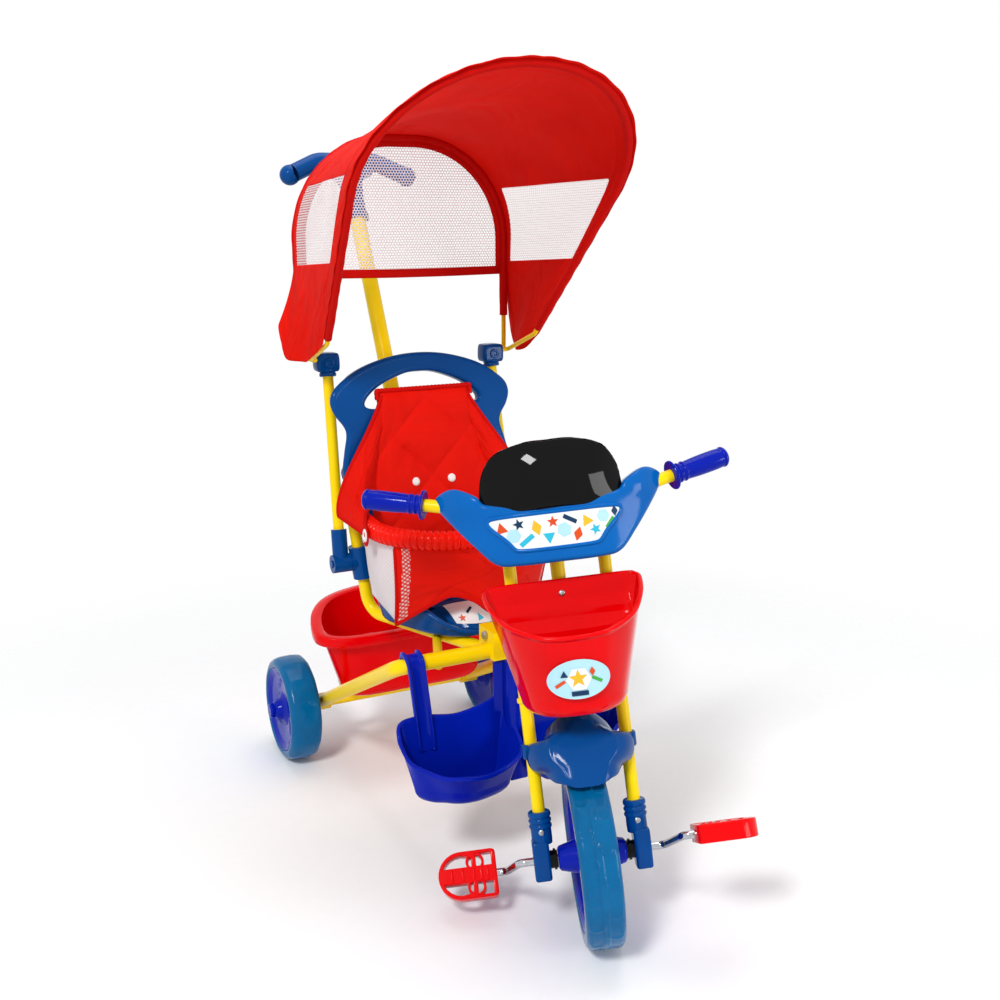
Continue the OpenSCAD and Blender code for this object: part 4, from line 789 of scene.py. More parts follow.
@dataclass
class Wheels:
    """Blown tyres with raised crescents on the tread, and dished disc rims with swept ribs."""

    front: WheelSize = WheelSize(112.5, 48.0, 21.0, 1.2, 0.0, 0.0, 1.2, 18, 86.0, 9.2)
    rear: WheelSize = WheelSize(87.5, 52.0, 17.0, 0.0, 4.0, 0.4, 0.3, 14, 66.0, 17.0)
    track: float = 372.0
    rear_axle: Pair = (336.0, 87.5)
    shoulder: float = 8.0
    mark_r: float = 8.6
    mark_at: float = 0.235
    seat_gap: float = 0.05
    arms: int = 3
    arm_rise: float = 2.0

    def tyre(self, size: WheelSize) -> Array:
        """Tread profile carried round the axle, with crescents where the distance to a mark's middle is mark_r."""
        r, w, k, top = size.radius, size.width, self.shoulder, size.radius - size.ridge
        seat = r - size.height
        g = np.linspace(0, math.pi / 2, 9)
        left = coords(-(w / 2 - k) - k * np.cos(g), top - k + k * np.sin(g))
        x = np.linspace(-(w / 2 - k), w / 2 - k, 36)[1:-1]
        tread = coords(x, top + size.ridge * ease((4.5 - np.abs(x)) / 1.5))
        bead = np.array([[w / 2, seat + 3], [w / 2 - 1, seat + 1], [w / 2 - 3, seat]])
        line = np.vstack([left, tread, left[::-1] * [-1, 1], bead, bead[::-1] * [-1, 1]])
        outer = line[: -2 * len(bead)]
        outer[:, 1] -= size.crown * np.clip(2 * np.abs(outer[:, 0]) / w, 0, 1) ** 2.4
        across, up = line[None, :, 0], line[None, :, 1]
        turn = turns(24 * size.marks)[:, None]
        pitch = 2 * math.pi * r / size.marks
        run = (turn * r + np.where(across > 0, pitch / 2, 0.0)) % pitch - pitch / 2
        over = np.abs(across) - w * self.mark_at
        gap = ease((2.3 - np.abs(np.arctan2(over, run))) / 0.3)
        mark = bell(np.hypot(run, over) - self.mark_r, 1.5) * gap * ease((up - (top - 2.5)) / 2)
        half = math.pi / size.marks
        flat = math.cos(half) / np.cos(turn % (2 * half) - half)
        rho = up * mix(1, flat, size.facet) + size.relief * mark
        return coords(across, rho * np.cos(turn), rho * np.sin(turn))

    def rim(self, size: WheelSize) -> Array:
        """Disc profile carried round the axle; swept ribs stand out of the disc on each side."""
        r, w, hub, disc = size.radius - size.height - self.seat_gap, size.width, size.hub, size.disc
        half = np.array([[hub / 2, 5.05], [hub / 2, 12.6], [hub / 2 - 2.4, 15.2], [max(hub / 4 + 6, disc + 4), 18.6],
                         [disc + 3.3, 22.5], [disc, 30], [disc + 1, 40], [w / 2 - 9.5 + 0.4 * (disc - 9.2), r - 13],
                         [w / 2 - 5, r - 10], [w / 2 - 2.6, r - 4], [w / 2 - 1.2, r - 0.8], [w / 2 - 4, r]])
        side = even(half, 64)
        line = np.vstack([side, side[::-1] * [-1, 1]])
        turn = turns(168)[:, None]
        rho = np.broadcast_to(line[None, :, 1], (len(turn), len(line)))
        arm = (turn * self.arms / (2 * math.pi) - 0.011 * (rho - 30)) % 1 - 0.5
        rise = bell(arm, 0.085) * ease((rho - 32) / 8) * ease((r - 15 - rho) / 6)
        x = line[None, :, 0] + self.arm_rise * rise * np.sign(line[None, :, 0])
        return coords(x, rho * np.cos(turn), rho * np.sin(turn))

    def build(self) -> None:
        """Make the three tyres and rims."""
        fit(patch("front_tyre_tread", STEER.place(self.tyre(self.front)), TYRE, RING),
            Body.FRONT_WHEEL, "tyre_blue", "front_tyre")
        fit(patch("front_rim_disc", STEER.place(self.rim(self.front)), ROYAL, RING),
            Body.FRONT_WHEEL, "royal_blue_plastic", "front_rim")
        for side, body in ((Side.RIGHT, Body.RIGHT_WHEEL), (Side.LEFT, Body.LEFT_WHEEL)):
            at = np.array([side.value * self.track / 2, *self.rear_axle])
            fit(patch(f"rear_tyre_tread_{side.word}", at + self.tyre(self.rear), TYRE, RING),
                body, "tyre_blue", f"rear_tyre_{side.word}")
            fit(patch(f"rear_rim_disc_{side.word}", at + self.rim(self.rear), ROYAL, RING),
                body, "royal_blue_plastic", f"rear_rim_{side.word}")


@dataclass
class FrontCovers:
    """Fairing with horns over the bar, round windscreen, basket, mudguard, pedals, grips and the printed labels."""

    fairing_half: Sequence = ((0, 371), (48, 371), (76, 375), (100, 399), (128, 433), (142, 455), (138, 467),
                              (118, 473), (92, 461), (80, 449), (40, 447), (0, 447))
    screen_half: Sequence = ((0, 437), (77.4, 437), (86, 471), (68.8, 505), (31, 518), (0, 519))
    front: float = 62.0
    screen_front: float = 56.0
    plan_r: float = 205.0
    horn_rise: float = 6.0
    dome_rise: float = 16.0
    # Half width, depth and height of the basket's floor and of its mouth; height and slope of its rim
    basket_back: float = 15.5
    basket_floor: Vec = (66.0, 88.0, 190.0)
    basket_mouth: Vec = (100.0, 145.0, 360.0)
    basket_rim: Pair = (348.0, 64.0 / 136.0)
    basket_wall: float = 3.0
    # Height, softness and depth of the two ledges inside the basket's back wall
    basket_ledges: Sequence = ((296.0, 7.0, 9.0), (318.0, 5.0, 5.0))
    # Lower edge and height of the fairing's label; its half width below and above
    label_z: Pair = (391.0, 39.0)
    label_half: Pair = (53.0, 83.0)
    bezel_r: float = 2.6
    # Height of the middle, half width and half height of the basket's label
    oval: Vec = (238.0, 37.0, 24.0)
    leg_x: float = 60.0
    clip_z: float = 138.0
    crown_z: Pair = (198.5, 287.5)
    crown_thick: float = 6.0
    # Depth, height and radius of the screw heads
    leg_screw: Vec = (-12.2, 38.0, 3.9)
    basket_screw: Vec = (-18.4, 330.0, 4.0)
    bar_tip: Vec = (-231.0, 20.0, 475.0)
    bar_way: Vec = (-0.949203, 0.230887, 0.213785)
    grip_run: float = 79.0
    # The left pedal's foot about the axle; turn of the right and the left pedal in degrees
    pedal_at: Vec = (121.0, -58.467, 26.031)
    pedal_turn: Pair = (62.0, -14.0)
    # Kind, ink, place across, place up, size and turn of each printed shape
    fairing_print: Sequence = (
        ("triangle", "orange", -66, 418, 8, 10), ("hexagon", "pale", -52, 408, 9, 0),
        ("star", "slate", -45, 421, 7, 12), ("bar", "aqua", -37, 401, 9, 35), ("diamond", "yellow", -24, 415, 9, 15),
        ("triangle", "aqua", -10, 402, 8, 180), ("star", "orange", -4, 420, 7, 0), ("hexagon", "pale", 9, 409, 9, 20),
        ("bar", "slate", 17, 421, 8, -30), ("diamond", "orange", 25, 402, 8, -20),
        ("triangle", "yellow", 37, 417, 8, 25), ("star", "aqua", 47, 405, 7, 20), ("hexagon", "pale", 58, 420, 8, 0),
        ("bar", "green", 66, 411, 7, 50), ("diamond", "slate", 73, 424, 6, 0))
    basket_print: Sequence = (
        ("hexagon", "white", 0, 238, 15, 0), ("star", "yellow", -1, 239, 11, 0), ("bar", "orange", -22, 234, 6, 30),
        ("bar", "green", 21, 236, 6, -30), ("triangle", "slate", -17, 245, 5, 0), ("diamond", "orange", 16, 246, 5, 0),
        ("bar", "slate", 0, 221, 9, 0))

    def face(self, x: Array, z: Array, front: float) -> Array:
        """Wall that is round in plan, with a swelling at each horn of the fairing and a dome in the windscreen."""
        swell = self.horn_rise * np.exp(-(((np.abs(x) - 114) / 24) ** 2) - ((z - 453) / 19) ** 2)
        dome = self.dome_rise * np.maximum(0, 1 - (x / 88) ** 2) * np.maximum(0, 1 - ((z - 474) / 52) ** 2)
        bulge = swell if front == self.front else dome
        return self.plan_r - front - np.sqrt(np.maximum(self.plan_r**2 - x**2, 1)) - bulge

    def shell(self, half: Sequence, front: float, edge: float, depth: float) -> tuple[Array, list[Array]]:
        """Closed outline with a rounded edge and a wall behind it, filled between its lower and upper half.

        Args:
            half: Half outline from the lower middle to the upper middle.
            front: Forward reach of the wall.
            edge: Radius of the rounded edge.
            depth: Depth of the wall behind it.

        Returns:
            Points and faces.
        """
        def on_wall(flat: Array, back: float) -> Array:
            return coords(flat[..., 0], self.face(flat[..., 0], flat[..., 1], front) + back, flat[..., 1])

        line = loop_curve(mirrored(half), 12)
        n = len(line)
        steps = [(0.0, depth), (0.0, depth * 0.6)]
        steps += [(edge * (1 - math.cos(g)), edge * (1 - math.sin(g))) for g in np.linspace(0, math.pi / 2, 7)]
        rings = np.stack([on_wall(inset(line, d), back) for d, back in steps])
        last = inset(line, edge)
        i = np.arange(-n // 4, n // 4 + 1)
        t = np.linspace(0, 1, 15)[:, None, None]
        fill = on_wall(mix(last[i % n][None], last[(n // 2 - i) % n][None], t), 0.0)
        faces = [quads(len(rings), n, *ROUND), len(rings) * n + quads(len(t), len(i), False, False)]
        return np.vstack([rings.reshape(-1, 3), fill.reshape(-1, 3)]), faces

    def weld(self, piece: Piece) -> Piece:
        """Merge the doubled points of a filled outline."""
        step = piece.modifiers.new("seam", "WELD")
        step.merge_threshold = 0.05 * MM
        return piece

    def basket_line(self, w: float, d: float) -> Array:
        """D-shaped outline, flat at the back, round at the front, anticlockwise from the front's middle."""
        b = self.basket_back
        half = [[0, -b - d], [0.26 * w, -b - 0.985 * d], [0.5 * w, -b - 0.92 * d], [0.82 * w, -b - 0.68 * d],
                [0.97 * w, -b - 0.36 * d], [w, -b - 15], [w - 4, -b - 5], [w - 15, -b], [0.4 * w, -b], [0, -b]]
        return loop_curve(mirrored(half), 9)

    def basket(self) -> Array:
        """Bucket whose mouth is cut by a plane that falls to the front."""
        wf, df, low = self.basket_floor
        wm, dm, high = self.basket_mouth
        floor, top = self.basket_line(wf, df), self.basket_line(wm, dm)
        t = np.full((len(floor), 1), 0.8)
        for _ in range(6):
            y = mix(floor, top, t)[:, 1:]
            t = (self.basket_rim[0] + self.basket_rim[1] * (y + self.basket_back) - low) / (high - low)
        rings = bucket(floor, mix(floor, top, t), low + t[:, 0] * (high - low), low, self.basket_wall, 2.4, 20.0)
        inside = np.arange(len(rings))[:, None] > len(rings) // 2 + 4
        x, y, z = np.moveaxis(rings, -1, 0)
        back = ease((y + self.basket_back + 12) / 8) * ease((88 - np.abs(x)) / 10) * inside
        rings[..., 1] -= back * sum(deep * ease((top - z) / soft) for top, soft, deep in self.basket_ledges)
        return rings

    def basket_front(self, x: Array, z: Array, off: float) -> Array:
        """Point of the basket's outer front wall at a place across and up, off millimetres outside it."""
        (wf, df, low), (wm, dm, high) = self.basket_floor, self.basket_mouth
        t = (z - low) / (high - low)
        w, d = mix(wf, wm, t), mix(df, dm, t)
        unit_line = (self.basket_line(1000.0, 1000.0) + [0, self.basket_back]) / 1000
        front = unit_line[unit_line[:, 1] < -0.5]
        front = front[np.argsort(front[:, 0])]
        deep = np.interp(x / w, front[:, 0], front[:, 1])
        return coords(x, -self.basket_back + d * deep - off, z)

    def labels(self) -> None:
        """Printed labels: plain shapes on white in the fairing's bezel, and a pale oval with a star on the basket."""
        def on_fairing(x: Array, z: Array, off: float) -> Array:
            return coords(x, self.face(x, z, self.front) - off, z)

        def on_basket(flat: Array) -> Array:
            lift = np.repeat(np.linspace(0.9, 1.5, len(flat) // FAN), FAN)
            return STEER.place(self.basket_front(flat[:, 0], flat[:, 1], lift))

        above, below = (60, -150, 500), (60, -300, 500)
        u, v = np.meshgrid(np.linspace(-1, 1, 61), np.linspace(0, 1, 15))
        z = self.label_z[0] + self.label_z[1] * v + 2.5 * (1 - np.abs(u) ** 6) * (v - 0.5)
        x = u * mix(*self.label_half, ease(v)) * (1 - 0.06 * (2 * v - 1) ** 8)
        grid = on_fairing(x, z, 0.35)
        pieces = [patch("fairing_label", STEER.place(grid), INKS["white"], about=above)]
        rim = np.vstack([grid[0], grid[1:, -1], grid[-1, -2::-1], grid[-2:0:-1, 0]])
        rim = np.roll(even(rim, 240, True), -36, 0)
        rim = np.stack([softened(k, 11) for k in rim.T], 1)
        rim = rim.mean(0) + (rim - rim.mean(0)) * [1.02, 1, 1.05] + [0, 1.0, 0]
        fit(patch("fairing_bezel", STEER.place(sweep(rim, self.bezel_r, 12, (0, 1, 0))), SKY, RING),
            Body.FORK, "royal_blue_plastic")
        pieces.append(printed("fairing_print", self.fairing_print,
                              lambda p: STEER.place(on_fairing(p[:, 0], p[:, 1], 0.75)), above))
        mid, wide, tall = self.oval
        r, g = np.meshgrid(np.linspace(0.02, 1, 14), turns(72), indexing="ij")
        oval = self.basket_front(wide * r * np.cos(g), mid + tall * r * np.sin(g), 0.5)
        pieces.append(patch("basket_label", STEER.place(oval), INKS["pale"], ROUND, about=below))
        pieces.append(printed("basket_print", self.basket_print, on_basket, below))
        for piece in pieces:
            fit(piece, Body.FORK, "white_net")

    def mudguard(self) -> list[Piece]:
        """Scoop over the tyre: a crowned strip with ears on the legs, a blunt nose, and a clip on each leg."""
        v, u = np.meshgrid(np.linspace(0, 1, 75), np.linspace(-1, 1, 91), indexing="ij")
        at = np.array([0, 0.15, 0.3, 0.42, 0.5, 0.58, 0.66, 0.75, 0.87, 1])
        rim = np.array([[24, 12, 166], [36, 6, 160], [41, -2, 152], [45, -11.5, 148], [62, -13, 147], [66, -13, 134],
                        [62, -13, 118], [47, -25, 112], [38, -46, 107], [25, -61, 107]])
        crest = np.array([[0, 12, 177], [0, -6, 180], [0, -23, 174], [0, -36, 163], [0, -43, 153], [0, -49, 143],
                          [0, -54, 134], [0, -59, 124], [0, -64, 112], [0, -68, 101]])
        ways = open_curve(np.concatenate([at[:, None], rim, crest], 1), 400)
        edge, mid = (np.stack([np.interp(v, ways[:, 0], ways[:, k]) for k in ks], -1) for ks in ((1, 2, 3), (4, 5, 6)))
        fall = np.abs(u)[..., None] ** mix(2.4, 4.6, ease((v - 0.35) / 0.15))[..., None]
        grid = mid + (edge - mid) * fall
        grid[..., 0] = u * edge[..., 0]
        rib = 1.8 * bell(np.abs(u) - 0.62, 0.05) * ease((v - 0.3) / 0.15) * ease((0.95 - v) / 0.2)
        grid += rib[..., None] * [0, -0.6, 0.8]
        scoop = thicken(patch("mudguard_scoop", STEER.place(grid), NAVY, about=(0, -300, 200)), 3.0, 0.0)
        ring = np.array([[8.15, -9], [11.4, -9], [12.2, -7], [12.2, 7], [11.4, 9], [8.15, 9]])
        feet = [(side.value * self.leg_x, 0, self.clip_z) for side in Side]
        clips = [patch("mudguard_clip", STEER.place(lathe(ring, foot, UP, ACROSS, 48)), NAVY, RING) for foot in feet]
        return [scoop, *clips]

    def build(self) -> None:
        """Make the covers, their labels, and the pedals, grips, fork ends and screw heads."""
        points, faces = self.shell(self.fairing_half, self.front, 6.0, 22.0)
        fairing = build("fairing_shell", STEER.place(points), faces, [SKY], about=(30, -250, 540))
        fit(thicken(self.weld(fairing), 3.5), Body.FORK, "royal_blue_plastic", "fairing")
        points, faces = self.shell(self.screen_half, self.screen_front, 2.4, 3.2)
        screen = build("windscreen_shell", STEER.place(points), faces, [BLACK], about=(30, -150, 600))
        fit(thicken(self.weld(screen), 2.4), Body.FORK, "black_plastic", "windscreen")
        fit(patch("front_basket_shell", STEER.place(self.basket()), RED, ROUND, True),
            Body.FORK, "red_plastic", "front_basket")
        scoop, *clips = self.mudguard()
        fit(scoop, Body.FORK, "navy_plastic", "mudguard")
        fit(joined("mudguard_clips", clips), Body.FORK, "navy_plastic")
        self.labels()
        outer = loop_curve(mirrored([[0, -10.5], [40, -10.5], [60, -10.5], [68, -7], [70.5, 0], [68, 7], [60, 10.5],
                                     [40, 10.5], [0, 10.5]]), 5)
        plates = [flat_slab("crown_plate", [outer], z, z + self.crown_thick, 1.4, YELLOW) for z in self.crown_z]
        fit(moved(joined("fork_crown_plates", plates), STEER.place), Body.FORK, "yellow_paint", "fork_crowns")
        for side, body in ((Side.RIGHT, Body.RIGHT_PEDAL), (Side.LEFT, Body.LEFT_PEDAL)):
            fit(self.pedal(side), body, "red_plastic", f"pedal_{side.word}")
        heads = [self.screw(side.value * self.leg_x, *self.leg_screw) for side in Side]
        fit(joined("fork_screw_heads", heads), Body.FORK, "zinc_screw", "fork_screws")
        fit(joined("basket_screw_head", [self.screw(0, *self.basket_screw)]), Body.FORK, "zinc_screw", "basket_screw")
        for side in Side:
            fit(self.grip(side), Body.FORK, "royal_blue_plastic", f"grip_{side.word}")
            fit(self.fork_end(side), Body.FORK, "navy_plastic", f"fork_end_{side.word}")

    def grip(self, side: Side) -> Piece:
        """Smooth handlebar grip with a flange, two rings beside it and a round end."""
        line = open_curve([[0, 8.15], [0, 17.6], [0.6, 18.6], [1.8, 19.0], [3, 18.4], [3.4, 16], [4.4, 12.2], [8, 11.6],
                           [9.4, 12.6], [11, 12.8], [12.6, 11.8], [15, 11.8], [16.4, 12.8], [18, 12.9], [19.6, 12],
                           [24, 12.1], [40, 12.9], [62, 13.0], [72, 12.4], [73.4, 13.2], [75.4, 13.2], [77, 12.2],
                           [79.4, 9.5], [80.6, 5], [81, 0.05]], 170)
        way = np.array(self.bar_way)
        foot = np.array(self.bar_tip) - self.grip_run * way
        rings = lathe(line[:, ::-1], foot, way, unit(np.cross(way, BACK)), 44)
        return patch(f"grip_{side.word}_lathe", STEER.place(rings * [-side.value, 1, 1]), ROYAL, ROUND)

    def pedal(self, side: Side) -> Piece:
        """D-shaped pedal: a rounded frame with four windows, two rings in them, and bars of tread on both faces."""
        g = np.linspace(-math.pi / 2, math.pi / 2, 25)
        bow = coords(46 + 30 * np.cos(g), 30 * np.sin(g))
        outer = np.vstack([[[0, -25], [1.2, -28.5], [5, -30]], bow, [[5, 30], [1.2, 28.5], [0, 25]]])
        near = np.array([[6, 10], [26, 10], [26, 26], [6, 26]], float)
        far = np.array([[32, 10], [68.9, 10], [66, 15], [61, 20], [54, 23.7], [46, 25], [38, 23.7], [32, 20.7]])
        windows = [hole * [1, k] for hole in (near, far) for k in (1, -1)]
        parts = [flat_slab("pedal_frame", [outer, *windows], -11, 11, 1.7, RED)]
        disc = coords(np.cos(turns(40)), np.sin(turns(40)))
        for k in (1, -1):
            mid = [27.4, 15.6 * k]
            parts.append(flat_slab("pedal_ring", [disc * 12 + mid, disc * 8.6 + mid], -10, 10, 1.0, RED))
        for x in (12, 20, 30, 44, 58):
            bar = np.array([[x - 1.5, -8], [x + 1.5, -8], [x + 1.5, 8], [x - 1.5, 8]])
            parts.append(flat_slab("pedal_tread", [bar], -12, 12, 0.9, RED))
        turn = math.radians(self.pedal_turn[side is Side.LEFT])
        c, s = math.cos(turn), math.sin(turn)
        arm = np.array(self.pedal_at) * side.value

        def place(p: Array) -> Array:
            y, z = p[:, 1] * c - p[:, 2] * s, p[:, 1] * s + p[:, 2] * c
            return STEER.place(coords(p[:, 0] * side.value, y, z) + arm)

        return moved(joined(f"pedal_{side.word}_moulding", parts), place)

    def screw(self, x: float, y: float, z: float, r: float) -> Piece:
        """Pan head with a cross recess, facing the front.

        Args:
            x: Place across, in the fork's own frame.
            y: Depth of the head's seat.
            z: Height.
            r: Radius of the head.

        Returns:
            The head.
        """
        def slot(a: Array, b: Array) -> Array:
            return ease((0.19 - a) / 0.1) * ease((0.62 - b) / 0.1)

        g = turns(64)[None, :]
        u = np.concatenate([[0.2, 0.96], np.linspace(1.0, 0.03, 30)])[:, None]
        lift = np.concatenate([[0.0, 0.0], 0.56 * np.sqrt(1 - 0.9 * u[2:, 0] ** 2)])[:, None]
        a, b = np.abs(u * np.cos(g)), np.abs(u * np.sin(g))
        lift = lift - 0.3 * np.maximum(slot(a, b), slot(b, a)) * (lift > 0)
        grid = coords(x + r * u * np.cos(g), y - r * lift, z + r * u * np.sin(g))
        return patch("screw_head", STEER.place(grid), ZINC, ROUND, True)

    def fork_end(self, side: Side) -> Piece:
        """Moulded fork end: a rounded block on the axle and a ringed sleeve on the leg."""
        half = [[0, -24], [9, -24], [12, -20], [14.4, -4], [15, 12], [14, 24], [8, 27], [0, 27]]
        body = flat_slab("fork_block", [loop_curve(mirrored(half), 5)], 53.0, 74.0, 3.5, NAVY)
        moved(body, lambda p: STEER.place(coords(p[:, 2], p[:, 0], p[:, 1]) * side.flip))
        line = open_curve([[12.6, 22], [13, 30], [13, 41], [14.2, 42.4], [14.2, 45], [13, 46.4], [13, 48], [14.2, 49.4],
                           [14.2, 52], [13, 53.4], [13, 55], [14.2, 56.4], [14.2, 60], [12.6, 62], [8.1, 62]], 110)
        rings = lathe(line, (self.leg_x, 0, 0), UP, ACROSS, 44)
        sleeve = patch("fork_sleeve", STEER.place(rings * side.flip), NAVY, ROUND)
        return joined(f"fork_end_{side.word}_moulding", [body, sleeve])


@dataclass(frozen=True)
class Arch:
    """Bow in its own plane: lower half width and height, widest half width, height, half width of the flat crown."""

    low_half: float
    low: float
    half: float
    height: float
    crown: float

    @property
    def radius(self) -> float:
        """Radius of the shoulder."""
        return self.half - self.crown

    @property
    def mid(self) -> Array:
        """Middle of the shoulder's round."""
        return np.array([self.crown, self.height - self.radius])

    @property
    def lean(self) -> float:
        """Lean of the leg outwards."""
        d = self.mid - [self.low_half, self.low]
        return math.atan2(d[0], d[1]) + math.asin(self.radius / float(np.linalg.norm(d)))

    @property
    def foot(self) -> Array:
        """Where the leg meets the shoulder's round."""
        d = self.mid - [self.low_half, self.low]
        run = math.sqrt(float(d @ d) - self.radius**2)
        return np.array([self.low_half, self.low]) + run * np.array([math.sin(self.lean), math.cos(self.lean)])

    @property
    def arc(self) -> float:
        """Length of the shoulder's round."""
        return self.radius * (math.pi / 2 + self.lean)

    @property
    def reach(self) -> float:
        """Length from the leg's upper end to the middle of the crown."""
        return self.arc + self.crown

    def at(self, q: Array, out: float) -> Array:
        """Point at the length q past the leg's upper end, out millimetres outside the wire's middle."""
        q = np.asarray(q, float)[..., None]
        n = self.lean
        leg = self.foot + q * [math.sin(n), math.cos(n)] + out * np.array([math.cos(n), -math.sin(n)])
        g = q[..., 0] / self.radius - n
        bend = self.mid + (self.radius + out) * coords(np.cos(g), np.sin(g))
        top = np.concatenate([self.crown - (q - self.arc), np.full_like(q, self.height + out)], -1)
        return np.where(q < 0, leg, np.where(q < self.arc, bend, top))

    def length(self, h: Array) -> Array:
        """Length along the arch where it reaches a height."""
        h = np.asarray(h, float)
        up = np.arcsin(np.clip((h - self.mid[1]) / self.radius, -1, 1))
        return np.where(h < self.foot[1], (h - self.foot[1]) / math.cos(self.lean), (up + self.lean) * self.radius)


@dataclass
class Canopy:
    """Red cloth between the two bows, with net windows in its sides and a net across the back."""

    front: Arch = Arch(167.0, 50.0, 190.0, 525.0, 5.0)
    rear: Arch = Arch(171.0, 53.0, 171.0, 330.0, 19.0)
    tilt: float = math.radians(42.8)
    front_y: float = 166.31
    rear_y: float = 247.31
    foot_z: float = 678.0
    cloth_out: float = 4.85
    cloth_front: float = 7.36
    cloth_thick: float = 1.3
    # Lower and upper edge of the windows along the rear bow, then along the front bow; their ends between the bows
    window: tuple[float, float, float, float] = (144.0, 254.0, 209.9, 357.1)
    window_v: Pair = (0.07, 0.89)
    # Lower edge of the flaps in their middle, and its rise to the rear and to the front bow
    low_edge: Vec = (5.0, 42.0, 29.0)
    # How far the left and the right flap's rear corner stands out
    flare: Pair = (10.0, 27.0)
    # Place of the front hem's seam, depth of the seams, and height of creases, puckers, folds and sag in the cloth
    hem: float = 0.905
    seam: Pair = (1.0, 0.6)
    crease: float = 4.4
    pucker: float = 0.7
    fold: Pair = (5.0, 3.6)
    sag: float = 7.0
    net_pitch: float = 4.6
    net_low: float = 128.0
    # Axis of the folding bow, the direction midway between the bows from it, and the direction of folding
    hinge: Vec = (0.0, 221.3, 683.0)
    fold_up: Vec = (0.0, -0.365, 0.931)
    fold_way: Vec = (0.0, -0.931, -0.365)
    blend_at: float = 300.0
    blend_half: float = 70.0
    clamp_at: Vec = (137.0, 229.314, 678.0)
    post_way: Vec = (-0.0299, 0.1907, 0.9812)

    def front_point(self, p: Array) -> Array:
        """Place a point of the front bow's plane."""
        c, s = math.cos(self.tilt), math.sin(self.tilt)
        return coords(p[..., 0], self.front_y - s * p[..., 1], self.foot_z + c * p[..., 1])

    def rear_point(self, p: Array) -> Array:
        """Place a point of the rear bow's plane."""
        return coords(p[..., 0], self.rear_y, self.foot_z + p[..., 1])

    def side(self, t: Array, v: Array, flare: float) -> Array:
        """Cloth of the left half: a ruled surface between the bows with sag, flared flaps and wrinkles.

        Args:
            t: 0 to 1 over the flap, 1 to 2 over the window, 2 to 3 over the roof's half.
            v: 0 at the rear bow, 1 at the front bow.
            flare: How far the flap's rear corner stands out.

        Returns:
            Points, with the same shape as t and v.
        """
        r0, r1, f0, f1 = self.window
        ends = np.abs(1 - 2 * v)
        middle, to_rear, to_front = self.low_edge
        low = middle + np.where(v < 0.5, to_rear * ends**5, to_front * ends**2.6)

        def along(arch: Arch, h0: Array, h1: float, h2: float) -> Array:
            q0, q1, q2 = arch.length(h0), float(arch.length(h1)), float(arch.length(h2))
            return np.where(t < 1, mix(q0, q1, t), np.where(t < 2, mix(q1, q2, t - 1), mix(q2, arch.reach, t - 2)))

        qr, qf = along(self.rear, low, r0, r1), along(self.front, low / math.cos(self.tilt), f0, f1)
        back = self.rear_point(self.rear.at(qr, self.cloth_out))
        lead = self.front_point(self.front.at(qf, self.cloth_front))
        p = mix(back, lead, v[..., None])
        inside = np.clip(v, 0, 1)
        belly = np.sin(math.pi * inside)
        roof = np.sin(math.pi / 2 * np.clip(t - 2, 0, 1))
        flap = np.clip(1 - t, 0, 1)
        crease = ripple(qf / 46, inside * 5.5, 0.4) * belly * np.clip((t - 1.9) * 3, 0, 1) * self.crease
        pucker = np.sin(qf / 6.5 + 3 * ripple(qf / 60, inside * 2, 2.0)) * bell(1 - v, 0.06) * self.pucker
        seam = bell(v - self.hem, 0.007) * self.seam[0] + bell(v - 0.05, 0.012) * self.seam[1]
        lift = crease + pucker * (t > 0.2) - seam
        mid = coords(0, p[..., 1], self.foot_z + 170)
        p = p + unit(p - mid) * lift[..., None]
        out = flap**1.4 * flare * (1 - inside) + flap * belly * 5 * np.sin(inside * 9)
        return p + coords(out, flap**2 * 6 * (1 - inside), -self.sag * belly * roof)

    def roof(self) -> Piece:
        """One sheet from flap to flap over the crown, with slack folds and a hole for each window."""
        v0, v1 = self.window_v
        v = np.concatenate([[-0.02], np.linspace(0, v0, 6), np.linspace(v0, v1, 44)[1:], np.linspace(v1, 1.0, 15)[1:],
                            [1.016]])
        t = np.concatenate([np.linspace(0, 1, 19), np.linspace(1, 2, 19)[1:], np.linspace(2, 3, 56)[1:]])
        tt, vv = np.meshgrid(t, v, indexing="ij")
        left, right = (self.side(tt, vv, flare) for flare in self.flare)
        grid = np.vstack([left, right[-2::-1] * Side.RIGHT.flip])
        level = np.concatenate([t, t[-2::-1]])
        across = np.cumsum(np.concatenate([[0], np.linalg.norm(np.diff(grid[:, 30], axis=0), axis=1)]))
        uv = coords(across[:, None], v[None] * 330)
        a, b = across[:, None], v[None]
        slack = np.sin(math.pi * np.clip(b, 0, 1)) * ease((level[:, None] - 2.1) / 0.3)
        fold = self.fold[0] * ripple(a / 40 + 1.5 * b, b * 2.2 + a / 210, 5.0)
        fold = fold + self.fold[1] * np.sin(a / 27 + 4 * b) * bell(b - 0.2, 0.3)
        grid = grid + unit(grid - np.array([0, 120.0, 850.0])) * (fold * slack)[..., None]
        faces = quads(len(grid), len(v), False, False)
        row, col = faces[:, 0] // len(v), faces[:, 0] % len(v)
        low = np.minimum(level[row], level[np.minimum(row + 1, len(level) - 1)])
        hole = (low > 0.999) & (low < 1.999) & (v[col] > v0 - 0.001) & (v[col] < v1 - 0.001)
        piece = build("canopy_cloth", grid, [faces[~hole]], [CLOTH], uv=uv, about=(0, 120, 800))
        return refine(thicken(piece, self.cloth_thick), 1)

